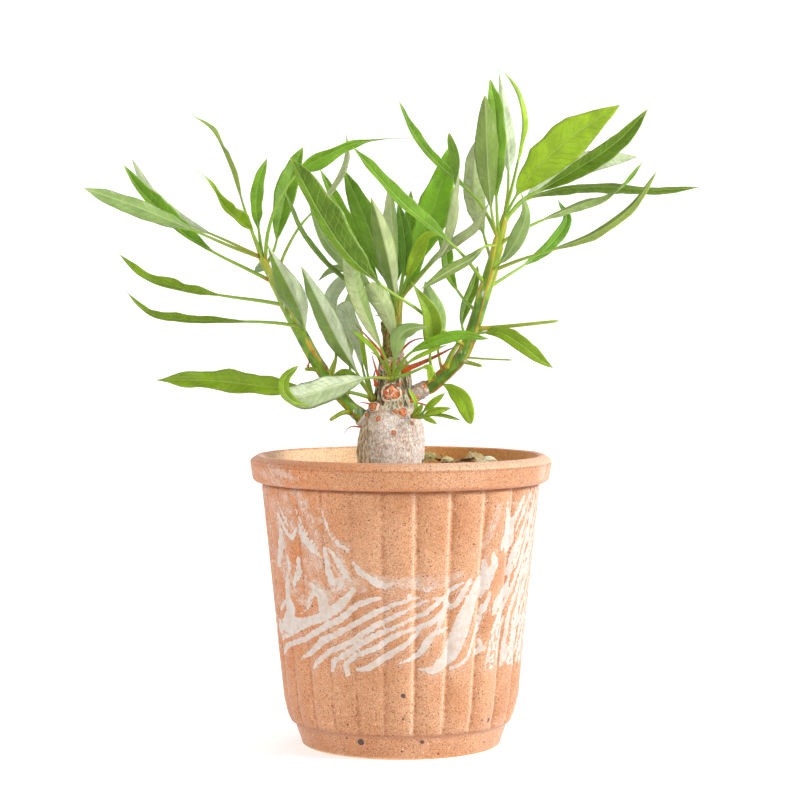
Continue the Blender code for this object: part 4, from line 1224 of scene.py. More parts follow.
class BarkFinish:
    """Dull tan bark with a fine net of orange-brown squiggles, grey-green between ridges higher up."""

    def build(self) -> Material:
        """The material, which reads how green the bark is and how much painted shade and stain it has.

        Returns:
            The bark material.
        """
        w = Weave("tan_bark", 0.7, 0.3)
        green, shade_and_stain = w.attribute("green"), w.attribute("shade_and_stain")
        line = w.rise(w.math("ABSOLUTE", w.math("SUBTRACT", w.noise(1.05, 3, w.tall(0.45), 0.62), 0.5)),
                      0.034, 0.006)
        dash = w.rise(w.noise(0.52, 2, w.tall(0.4)), 0.60, 0.67)
        frost = w.rise(w.noise(0.6, 2, w.tall(0.5)), 0.54, 0.64)
        net = w.rise(w.cells(0.8, "DISTANCE_TO_EDGE", w.tall(0.5)).outputs["Distance"], 0.13, 0.03)
        # Painted shade on the trunk's left side, away from the light, mixed with blotches of stain
        shade_and_stain_share = w.rise(w.sum(shade_and_stain, w.product(w.noise(1.3, 3), 1.1)), 0.7, 1.6)
        left_side_tone = w.coats(srgb(116, 84, 40),
                          (w.rise(w.noise(0.8, 3, w.tall(0.4)), 0.42, 0.58), srgb(212, 190, 146)))
        tan = w.coats(
            srgb(222, 208, 192),
            (w.rise(w.noise(6, 3), 0.35, 0.65), srgb(238, 229, 217)),
            (frost, 0.75, srgb(244, 240, 234)),
            (net, w.rise(w.noise(2.2, 2), 0.35, 0.6, 0.15, 0.5), srgb(182, 128, 88)),
            (dash, 0.6, srgb(190, 112, 58)),
            (line, 0.55, srgb(172, 108, 66)),
            (w.rise(w.noise(0.9, 3), 0.55, 0.64), 0.45, srgb(160, 166, 172)),
            (shade_and_stain_share, 0.9, left_side_tone))
        tall = w.noise(1.9, 4, w.tall(0.3), 0.6)
        ridge = w.rise(w.math("ABSOLUTE", w.math("SUBTRACT", tall, 0.53)), 0.05, 0.025)
        moss = w.coats(
            srgb(60, 92, 48),
            (w.rise(w.noise(3.0, 3), 0.4, 0.6), srgb(112, 134, 106)),
            (ridge, 0.9, srgb(214, 194, 160)),
            (w.rise(tall, 0.45, 0.41), srgb(70, 42, 20)),
            (w.rise(w.noise(2.2, 2), 0.55, 0.62), 0.75, srgb(176, 86, 36)))
        colour = w.mix(green, tan, moss)
        crack = w.rest(w.sum(w.product(line, 0.6), w.product(dash, 0.4)))
        return w.finish(colour, (crack, 0.16), (tall, 0.25), (w.noise(0.5, 2), 0.07))


class ScarFinish:
    """Bud scar: an orange-red bud, flaky, with whitish patches of painted highlight, in a crack painted
    dark as shade.
    """

    def build(self) -> Material:
        """The material, which reads the distance from the scar's middle."""
        w = Weave("bud_scar", 0.55, 0.3)
        flake = w.noise(0.9, 3, w.tall(0.5), 0.6)
        out = w.sum(w.attribute("out"), w.product(w.swing(0.9, 3), 0.9))
        colour = w.coats(
            srgb(184, 84, 36),
            (w.rise(flake, 0.36, 0.6), srgb(222, 140, 90)),
            # whitish patches: painted highlight on the glossy bud
            (w.rise(w.noise(1.3, 3), 0.54, 0.64), 0.65, srgb(240, 220, 206)),
            # painted shade in the crack round the bud
            (w.rise(out, 0.62, 0.76), srgb(120, 66, 34)),
            (w.rise(out, 0.80, 0.94), srgb(214, 192, 166)))
        return w.finish(colour, (flake, 0.3))


class DeadWoodFinish:
    """Dead dark wood, split lengthwise, with paler fibres."""

    def build(self) -> Material:
        """The material of the stub."""
        w = Weave("dead_wood", 0.85, 0.2)
        fibre = w.noise(0.9, 4, w.tall(0.2), 0.65)
        colour = w.coats(
            srgb(62, 42, 16),
            (w.rise(fibre, 0.35, 0.6), srgb(130, 106, 52)),
            (w.rise(w.noise(1.4, 3), 0.5, 0.6), 0.7, srgb(122, 130, 58)),
            (w.rise(fibre, 0.60, 0.72), srgb(188, 166, 112)))
        return w.finish(colour, (fibre, 0.6))


@dataclass
class Caudex:
    """The swollen trunk on its taproot, with shoulders, a dead stub, bud scars and woody spines."""

    node: str = "caudex"
    columns: int = 150
    row_height: float = 0.3
    soil_level: float = 84.0
    bulge: float = 0.42
    wrinkle: float = 0.13
    ridge: float = 0.42
    collar_swell: float = 0.32
    # Picture heights at which the bark begins to turn green and is wholly green
    upper_start: float = 413.0
    upper_full: float = 402.0
    scar_swell: float = 0.28
    shoulder_rows: int = 46
    shoulder_columns: int = 56
    scar_columns: int = 30
    stub_rows: int = 60
    stub_columns: int = 40

    def rings(self) -> Array:
        """Height, middle x and radius of the level rings, from the taproot's tip upwards."""
        trunk = []
        for py, px, radius in CAUDEX_RINGS:
            middle = VIEW.place(px, py, 0.0)
            trunk.append((middle[2], middle[0], radius))
        return np.array((*TAPROOT_RINGS, *trunk))

    def on_bark(self, px: float, py: float) -> tuple[Array, Array]:
        """The place on the near side that shows at a picture point, and the way the bark faces there.

        Args:
            px: picture x.
            py: picture y.

        Returns:
            The place and the unit direction.
        """
        height, middle, radius = self.rings().T
        place = VIEW.place(px, py, 0.0)
        size = float(np.interp(place[2], height, radius))
        offset = place[0] - float(np.interp(place[2], height, middle))
        offset = min(0.97 * size, max(-0.97 * size, offset))
        depth = -math.sqrt(size**2 - offset**2)
        below, above = np.interp((place[2] - 1.0, place[2] + 1.0), height, radius)
        spot = VIEW.place(px, py, depth)
        spot[0] = float(np.interp(place[2], height, middle)) + offset
        return spot, unit(np.array((offset, depth, (below - above) / 2 * size)))

    def trunk_patch(self) -> Patch:
        """The trunk: level rings of the interpolated radius plus bulges, wrinkles and ridges of noise.

        Returns:
            The patch with the attribute green and one for painted shade with stain.
        """
        height, middle, radius = self.rings().T
        hidden = np.linspace(height[0], self.soil_level, 16, endpoint=False)
        shown = np.arange(self.soil_level, height[-1], self.row_height)
        z = np.concatenate((hidden, shown, (height[-1],)))
        fine = np.linspace(height[0] - 4, height[-1] + 4, 900)
        kernel = np.hanning(41) / np.hanning(41).sum()
        soft = np.convolve(np.interp(fine, height, radius), kernel, "same")
        size = np.where(z > height[-1] - 3, np.interp(z, height, radius), np.interp(z, fine, soft))
        centre = np.stack((np.interp(z, height, middle), np.zeros(len(z)), z), axis=-1)
        up = np.tile((0.0, 0.0, 1.0), (len(z), 1))
        smooth = tube_points(centre, up, np.repeat(size[:, None], self.columns, axis=1))
        upper_low = VIEW.place(0.0, self.upper_start, 0.0)[2]
        upper_high = VIEW.place(0.0, self.upper_full, 0.0)[2]
        upper = smoothstep(upper_low, upper_high, z + 1.5 * NOISE.at(smooth, 3.0).T).T
        bulges = self.bulge * NOISE.layered(smooth, 8.0, 2)
        wrinkles = self.wrinkle * NOISE.layered(smooth * (1, 1, 1.9), 2.4, 2)
        tall = np.abs(NOISE.layered(smooth * (1, 1, 0.28), 2.2, 2))
        lift = bulges + (1 - upper) * wrinkles + upper * self.ridge * (0.6 - tall)
        for px, py, reach in BUD_SCARS:
            away = np.linalg.norm(smooth - self.on_bark(px, py)[0], axis=-1)
            lift += self.scar_swell * reach * swell(away, 0, 1.3 * reach)
        buried = smoothstep(self.soil_level - 3, self.soil_level, z)[:, None]
        points = tube_points(centre, up, size[:, None] + buried * lift)
        # Painted shade: the trunk's left side, away from the light, darkens to brown
        left = smoothstep(-1.0, -11.5, points[..., 0] + 3.0)
        return closed_grid(points, {"green": upper * 0.95, "shade_and_stain": left * (1 - 0.3 * upper)})

    def shoulder_patch(self, plan: Sequence[tuple], greenness: float) -> Patch:
        """A shoulder: rings on its route, swelling into two folds of bark round the stem that it bears.

        Args:
            plan: picture x, y, depth and radius along the shoulder.
            greenness: how green its bark is.

        Returns:
            The patch with the attributes green and stain.
        """
        places = VIEW.route(plan)
        end = unit(places[-1] - places[-2])
        route = Route(np.vstack((places, places[-1] + 0.8 * end)))
        radii = np.array([p[3] for p in plan] + [plan[-1][3]])
        share = np.linspace(0, 1, self.shoulder_rows)
        marks = [route.run[np.argmin(np.linalg.norm(route.dense - place, axis=1))]
                 for place in (*places, route.at(1.0))]
        along = share * route.length
        left = route.length - along
        folds = swell(left, 1.3, 0.7) + 0.5 * swell(left, 3.2, 0.6)
        size = np.interp(along, marks, radii) * (1 - 0.35 * np.exp(-left / 0.6)) + self.collar_swell * folds
        rings = np.repeat(size[:, None], self.shoulder_columns, axis=1)
        smooth = tube_points(route.at(share), route.ahead(share, 0.06), rings)
        rough = 0.42 * NOISE.layered(smooth, 3.0, 2) + 0.2 * NOISE.layered(smooth, 1.2, 2)
        points = tube_points(route.at(share), route.ahead(share, 0.06), rings + rough)
        green = np.repeat((greenness * smoothstep(0.5, 4.0, left))[:, None], self.shoulder_columns, axis=1)
        return closed_grid(points, {"green": green, "shade_and_stain": np.full(green.shape, 0.2)})

    def scar_patch(self, place: Array, facing: Array, radius: float) -> Patch:
        """A bud scar: a low uneven dome turned about the bark's outward direction, sunk at its rim.

        Args:
            place: its middle.
            facing: the unit direction that it faces.
            radius: of the rim, in mm.

        Returns:
            The patch with the attribute out.
        """
        out = np.array((0.06, 0.25, 0.45, 0.62, 0.76, 0.88, 0.98, 1.08, 1.1))
        lift = np.array((0.30, 0.32, 0.32, 0.28, 0.17, 0.21, 0.18, 0.05, -0.5))
        side = unit(np.cross(facing, (0.0, 0.0, 1.0)))
        over = np.cross(side, facing)
        turn = full_turn(self.scar_columns)
        ring = np.cos(turn)[:, None] * side + np.sin(turn)[:, None] * over
        wobble = 1 + 0.32 * NOISE.at(ring * 1.3 + place, 1.0)
        spread = radius * out[:, None] * wobble[None, :]
        rough = 1 + 0.4 * NOISE.at(place + ring[None] * out[:, None, None] * 3, 1.1)
        points = place + spread[..., None] * ring + (radius * lift[:, None] * rough)[..., None] * facing
        return closed_grid(points[::-1], {"out": np.repeat(out[::-1, None], self.scar_columns, axis=1)})

    def stub_patch(self) -> Patch:
        """The dead stub: a tapering tube with deep splits along it and a ragged end.

        Returns:
            The patch.
        """
        route = Route(VIEW.route(DEAD_STUB))
        share = np.linspace(0, 1, self.stub_rows)
        radii = np.interp(share, np.linspace(0, 1, len(DEAD_STUB)), [p[3] for p in DEAD_STUB])
        rings = np.repeat(radii[:, None], self.stub_columns, axis=1)
        smooth = tube_points(route.at(share), route.ahead(share), rings)
        splits = np.abs(NOISE.layered(smooth * (1, 1, 0.18), 1.5, 2))
        knots = NOISE.layered(smooth, 2.6, 2)
        size = rings * (1.15 - 0.6 * splits) + 0.45 * knots
        return closed_grid(tube_points(route.at(share), route.ahead(share), np.maximum(size, 0.15)))

    def build(self) -> list[bpy.types.Object]:
        """Makes the trunk with its shoulders, the scars, the stub and the spines.

        Returns:
            The pieces.
        """
        spikes = Spines()
        greenness = ((LEFT_SHOULDER, 0.25), (RIGHT_SHOULDER, 0.25), (MIDDLE_SHOULDER, 0.8),
                     (BUD_SHOULDER, 0.1))
        bark = [self.trunk_patch()] + [self.shoulder_patch(plan, green) for plan, green in greenness]
        scars = [self.scar_patch(*self.on_bark(px, py), radius) for px, py, radius in BUD_SCARS]
        scars += [self.scar_patch(VIEW.place(*place), unit(np.array(facing)), radius)
                  for place, facing, radius in SHOULDER_SCARS]
        pieces = [
            mesh_object("caudex_bark", bark, BarkFinish().build()),
            mesh_object("caudex_scars", scars, ScarFinish().build()),
            mesh_object("caudex_stub", [self.stub_patch()], DeadWoodFinish().build()),
            mesh_object("caudex_spines", [spikes.patch(plan) for plan in CAUDEX_SPINES],
                        SpineFinish().build()),
        ]
        for piece in pieces:
            take_place(piece, "tan_bark", self.node)
        return pieces


@dataclass(frozen=True)
class Marbling:
    """Where cream slip runs through the clay, worked out in points of the picture.

    Round the pot a place has s, its turn from the front in points, and y, the picture height at which it
    shows. Slip shows inside strands drawn on the near side, and where the sine of a phase, warped by noise,
    plus a level passes zero: once for the stripes at the right and behind, and once for faint swirls.
    """

    points_per_degree: float = 2.34
    front_s: float = 401.0
    stripe: float = 10.5
    fine_stripe: float = 7.6
    # The s and y that the stripes at the left, and those at the right and behind, are counted from
    left_from: tuple[float, float] = (350.0, 620.0)
    right_from: tuple[float, float] = (478.0, 640.0)
    left_slope: float = 0.49881
    right_slope: float = 0.34
    right_shift: float = 9.6
    swirl_stripe: float = 7.5
    # What stands for no line near, and for levels at which no slip shows on the ribs and elsewhere
    beyond: float = -6.0
    plain: float = -1.5
    bare: float = -1.6
    # Turns from the front, in degrees, between which drawn lines thin out to nothing
    thinning_deg: tuple[float, float] = (73.0, 85.0)
    band_top: Sequence[tuple[float, float]] = (
        (200, 600), (290, 604), (318, 592), (336, 580), (360, 578), (390, 584), (440, 584), (462, 574),
        (480, 556), (497, 535), (515, 515), (530, 500), (545, 490), (611, 480),
    )
    band_foot: Sequence[tuple[float, float]] = (
        (190, 648), (270, 652), (305, 662), (330, 668), (345, 672), (365, 671), (380, 662), (400, 662),
        (415, 668), (440, 676), (462, 669), (490, 668), (520, 668), (560, 662), (611, 660),
    )
    swirl_foot: Sequence[tuple[float, float]] = (
        (190, 612), (300, 612), (318, 600), (350, 588), (380, 584), (430, 584), (470, 566), (500, 540),
        (611, 500),
    )
    swirl_top: Sequence[tuple[float, float]] = (
        (190, 470), (312, 470), (322, 510), (338, 545), (360, 570), (390, 574), (430, 574), (470, 560),
        (500, 530), (540, 480), (611, 470),
    )
    # Strands of slip on the near side: picture x, y and half width along each
    strands: Sequence[Sequence[Point]] = (
        ((298, 525, 1), (305, 541, 3), (314, 551, 2.5), (321, 557, 1.5)),
        ((277, 513, 0.8), (287, 533, 1.6), (292, 538, 2), (296, 530, 1.2), (298, 522, 0.8)),
        ((280, 528, 1.4), (281.5, 545, 3), (279, 566, 1.6)),
        ((263, 488, 1), (266, 515, 1.2), (270, 545, 1.4)),
        ((287, 577, 1.4), (288, 597, 2.3), (291, 610, 4.5), (288, 626, 6.5)),
        ((292, 624, 7), (305, 623, 5), (327, 615, 4.5), (338, 607, 5.5), (354, 590, 2)),
        ((298, 558, 1.2), (299, 573, 3), (294, 584, 1.8)),
        ((315, 588, 3.5), (322, 597, 5), (325, 613, 5)),
        ((324, 547, 1.4), (327, 565, 2.6), (332, 582, 3.6), (342, 581, 3)),
        ((328, 548, 1.1), (335, 557, 1.8), (343, 569, 2.6), (349, 580, 2.4)),
        ((353, 563, 1.4), (361, 573, 3.4), (373, 581, 2.6), (392, 585, 1.6)),
        ((275, 612, 1.6), (280, 622, 2), (281, 634, 1.6)),
        ((283, 638, 1.8), (293, 633, 2.4), (305, 625, 3)),
        ((266, 505, 0.8), (271, 550, 0.9), (278, 625, 1.2)),
        ((284, 654, 1), (288, 645, 2.6), (305, 639, 2.8), (325, 627, 3.2), (341, 619, 3.2),
         (357, 605, 3), (369, 601, 3), (381, 598, 1.4)),
        ((302, 658, 1.4), (311, 653, 2.5), (322, 641, 4), (335, 635, 3), (357, 623, 2.8),
         (375, 613, 3.2), (393, 605, 2.2), (410, 600, 1.6), (422, 596, 1)),
        ((314, 669, 1), (318, 661, 2.6), (331, 651, 3), (349, 643, 2.8), (373, 627, 3), (400, 614, 2.2),
         (412, 608, 1.6), (426, 601, 1.6), (441, 597, 1)),
        ((333, 670, 2), (334, 661, 2.6), (345, 655, 2.8), (359, 645, 3), (377, 635, 3), (400, 625, 1.8),
         (412, 619, 1.8), (426, 613, 2.2), (438, 603, 2), (448, 593, 1.4)),
        ((348, 674, 2.6), (345, 665, 2.6), (357, 655, 2.6), (375, 649, 2.8), (389, 639, 2.8),
         (400, 634, 2.2), (412, 629, 1.6), (428, 625, 3), (442, 613, 2.5), (448, 604, 1.8)),
        ((358, 670, 2), (369, 668, 3), (385, 657, 3.5), (398, 650, 2.8), (408, 643, 2.8), (418, 633, 2)),
        ((400, 663, 1.2), (412, 659, 1.8), (422, 651, 3.6), (428, 641, 4), (434, 634, 2.6),
         (446, 629, 2)), ((419, 669, 1), (432, 671, 3.6), (441, 664, 5), (446, 654, 3)),
        ((443, 664, 4), (450, 655, 7), (456, 640, 8.5), (463, 622, 8), (469, 606, 6), (474, 592, 4),
         (478, 578, 2)), ((484, 561, 2.5), (484.5, 572, 5), (483, 586, 4.6), (480, 597, 1.5)),
        ((437, 632, 2), (443, 615, 2.4), (447, 594, 1.6)),
        ((449, 590, 2), (456, 587, 2.4), (462, 583, 1.4)),
        ((450, 608, 2.2), (458, 602, 3), (465, 589, 3), (472, 577, 1.4)),
        ((450, 669, 1.6), (460, 665, 1.8), (468, 657, 1.4), (473, 640, 1.2), (477, 622, 1)),
        ((475, 652, 2.6), (484, 648, 2.4)),
        ((486, 668, 1.2), (489, 650, 1.2), (493, 630, 1.4), (501, 609, 1.8), (511, 588, 1.8),
         (519, 566, 1.4), (527, 538, 1.2), (532, 506, 1)),
        ((500, 666, 1.6), (503, 655, 3.6), (504, 640, 2.2), (508, 616, 1.4), (515, 594, 1.6),
         (521, 574, 1.2), (529, 544, 1), (534, 516, 0.8)),
        ((512, 665, 1.2), (512, 646, 1), (515, 620, 1.4), (521, 590, 1), (528, 560, 1.2),
         (533, 534, 0.8)), ((519, 662, 1), (521, 636, 1.2), (525, 606, 1), (530, 572, 0.8)),
        ((493, 614, 1.6), (498, 601, 3.8), (505, 589, 2.6), (510, 574, 1), (518, 548, 1.2),
         (524, 522, 1)), ((479, 616, 2), (486, 605, 2.4), (490, 592, 1.6)),
        ((507, 500, 0.8), (508, 516, 1.8), (510, 530, 4.6), (509, 542, 3.8), (505, 552, 1.4)),
        ((493, 552, 1.6), (495, 562, 3.8), (491, 576, 3.2), (487, 590, 1.2)),
        ((511, 524, 3), (518, 512, 2), (524, 496, 1.2)), ((502, 548, 2), (506, 534, 1.6), (507, 520, 1)),
        ((506, 574, 1.6), (512, 556, 2.4), (517, 540, 1.4)),
        ((321, 508, 0.7), (325, 521, 1), (330, 536, 1.4), (340, 546, 2.2), (349, 549, 1.2)),
        ((277, 500, 0.6), (282, 514, 0.9), (289, 527, 0.8)),
        ((263, 503, 0.6), (268, 515, 0.8), (271, 530, 0.6)),
        ((334, 560, 0.6), (339, 570, 1), (344, 579, 0.8)),
        ((296, 510, 0.7), (301, 524, 1), (309, 537, 0.9), (318, 548, 1.2)),
        ((287, 555, 1), (290, 567, 1.6), (288, 574, 0.9)),
        ((310, 584, 2), (316, 590, 3), (309, 600, 1.6)),
        ((281, 610, 1), (284, 603, 1.8), (290, 598, 1.2)),
        ((330, 592, 1), (339, 587, 1.4), (347, 590, 0.8)),
        ((362, 573, 1.5), (372, 583, 1.8), (384, 588, 1.5), (394, 592, 1)),
        ((329, 587, 0.7), (342, 591, 0.9), (353, 587, 0.7)),
        ((491, 668, 1.2), (493, 652, 1), (496, 636, 0.9), (499, 620, 1), (503, 606, 0.9)),
        ((495, 664, 0.8), (497, 648, 0.9), (500, 630, 0.9), (504, 612, 0.8)),
        ((508, 664, 1), (509, 648, 1), (511, 630, 0.9), (514, 612, 0.8)),
        ((516, 662, 1), (517.5, 640, 1), (520, 616, 0.9), (524, 590, 0.8)),
        ((482, 604, 1.8), (480, 616, 2), (477, 630, 1.2)), ((478, 639, 1.6), (481, 645, 2.2)),
        ((400, 584, 0.7), (410, 589, 0.9), (424, 589, 0.8), (438, 586, 0.6)),
        ((408, 595, 0.7), (420, 592, 0.8), (434, 592, 0.7)),
        ((300, 500, 0.6), (305, 512, 0.8), (310, 519, 0.6)),
        ((312, 600, 0.8), (308, 608, 1.2), (300, 614, 0.8)),
    )
    # Thin veils of slip in the same way
    veils: Sequence[Sequence[Point]] = (
        ((294, 491, 4), (304, 506, 5), (311, 521, 4), (318, 545, 3)),
        ((329, 534, 2), (337, 545, 4), (347, 549, 4)), ((270, 466, 2), (280, 472, 3.6), (292, 479, 3)),
        ((262, 473, 1.6), (272, 480, 2.4), (281, 484, 1.6)), ((544, 466, 2), (541, 478, 2)),
        ((272, 500, 2), (279, 520, 3), (284, 545, 3)), ((284, 565, 4), (294, 590, 5), (306, 605, 4)),
        ((306, 560, 3), (318, 585, 4), (332, 600, 4)),
        ((372, 578, 3), (392, 582, 4), (420, 584, 7), (444, 582, 5), (462, 574, 3)),
        ((284, 495, 3), (290, 515, 4), (292, 530, 3)), ((300, 530, 4), (310, 548, 6), (318, 566, 5)),
        ((335, 590, 5), (352, 583, 5), (364, 590, 4)), ((484, 545, 3), (492, 530, 3), (500, 505, 2)),
    )
    # Slip on the rim: s, y, reach along each, and strength
    rim_patches: Sequence[tuple[float, ...]] = (
        (272, 474, 18, 8, 1.5), (600, 474, 24, 8, 1.2), (312, 478, 9, 4, 0.8))

    def coordinates(self, points: Array) -> tuple[Array, Array]:
        """The s and y of places on the pot. Behind, y is that of the place mirrored to the front.

        Args:
            points: places in mm.

        Returns:
            Arrays of s and y.
        """
        turn = np.degrees(np.arctan2(points[:, 0], -points[:, 1]))
        near = points.copy()
        near[:, 1] = -np.abs(points[:, 1])
        return self.front_s + self.points_per_degree * turn, VIEW.picture(near)[1]

    def blobs(self, spots: Sequence[tuple[float, ...]], s: Array, y: Array) -> Array:
        """The strongest of soft round patches: strength exp(-(ds/a)^2 - (dy/b)^2)."""
        return np.max([strength * np.exp(-(((s - at_s) / a) ** 2) - ((y - at_y) / b) ** 2)
                       for at_s, at_y, a, b, strength in spots], axis=0)

    def inside(self, lines: Sequence[Sequence[Point]], points: Array) -> Array:
        """How many points of the picture a place lies inside the nearest drawn line, negative outside.

        For each straight piece: half width at the nearest share, less the distance to it. Lines thin out
        towards the sides, and the far side has none.

        Args:
            lines: picture x, y and half width along each line.
            points: places in mm.

        Returns:
            One number for each place.
        """
        x, y = VIEW.picture(points)
        found = np.full(len(x), self.beyond)
        for line in lines:
            for (x0, y0, wide0), (x1, y1, wide1) in itertools.pairwise(line):
                way = np.array((x1 - x0, y1 - y0))
                share = np.clip(((x - x0) * way[0] + (y - y0) * way[1]) / (way @ way), 0, 1)
                away = np.hypot(x - x0 - share * way[0], y - y0 - share * way[1])
                found = np.maximum(found, wide0 + (wide1 - wide0) * share - away)
        turn = np.abs(np.degrees(np.arctan2(points[:, 0], -points[:, 1])))
        return np.maximum(found + self.beyond * smoothstep(*self.thinning_deg, turn), self.beyond)

    def fields(self, points: Array, outside: Array, band_height: float) -> dict[str, Array]:
        """The phases and levels of stripes and swirls, and the drawn lines, at places on the pot.

        Args:
            points: places in mm.
            outside: 1 on the outer wall and rim, 0 inside and underneath.
            band_height: height of the rim band's lower edge.

        Returns:
            Arrays named phase, level, swirl_phase, swirl_level, strand and veil.
        """
        s, y = self.coordinates(points)
        turn = (s - self.front_s) / self.points_per_degree
        on_band = smoothstep(band_height - 0.4, band_height + 0.4, points[:, 2])
        from_s, from_y = self.left_from
        left = (y + self.left_slope * (s - from_s) - from_y) / self.stripe
        from_s, from_y = self.right_from
        right = (s + self.right_slope * (y - from_y) - from_s) / self.fine_stripe + self.right_shift
        right = right + 0.9 * NOISE.layered(points * (1, 1, 0.4), 11.0, 2)
        to_right = smoothstep(415, 470, s) * smoothstep(168, 120, turn)
        opposite = self.front_s + self.points_per_degree * (np.sign(turn) * 180 - turn)
        mirrored = np.where(np.abs(turn) > 90, opposite, s)
        wander = NOISE.layered(points, 9.0, 2)
        top = np.interp(mirrored, *np.array(self.band_top).T) + 9 * wander
        foot = np.interp(mirrored, *np.array(self.band_foot).T) + 4 * wander
        inside = smoothstep(-4, 14, y - top) * smoothstep(-3, 5, foot - y)
        sparse = -0.35 * smoothstep(40, 5, y - top) - 0.1 * to_right
        drawn = smoothstep(-82, -74, turn) * smoothstep(60, 54, turn)
        level = self.plain + inside * (sparse - self.plain) * (1 - drawn)
        across = 0.8 * mirrored - 0.6 * y
        run = 0.6 * mirrored + 0.8 * y
        turned = np.stack((across / 15, run / 34, points[:, 1] / 40), axis=-1)
        swirl_phase = across / self.swirl_stripe + 1.5 * NOISE.layered(turned, 1.0, 3)
        swirl_top = np.interp(mirrored, *np.array(self.swirl_top).T) + 6 * wander
        swirl_foot = np.interp(mirrored, *np.array(self.swirl_foot).T) + 6 * wander
        in_swirl = smoothstep(-8, 6, y - swirl_top) * smoothstep(-6, 6, swirl_foot - y)
        patchy = 0.7 * NOISE.layered(points + 31, 8.0, 2)
        swirl_level = self.plain + in_swirl * (0.85 - 0.25 * drawn + patchy)
        rim_level = self.plain + 1.4 * self.blobs(self.rim_patches, s, y) + 0.4 * wander
        swirl_level = swirl_level + on_band * (rim_level - swirl_level)
        off_band = (1 - on_band) * outside
        return {
            "phase": left + to_right * (right - left),
            "level": self.bare + off_band * (level - self.bare),
            "swirl_phase": swirl_phase,
            "swirl_level": self.bare + outside * (swirl_level - self.bare),
            "strand": self.beyond + outside * (self.inside(self.strands, points) - self.beyond),
            "veil": self.beyond + outside * (self.inside(self.veils, points) - self.beyond),
        }


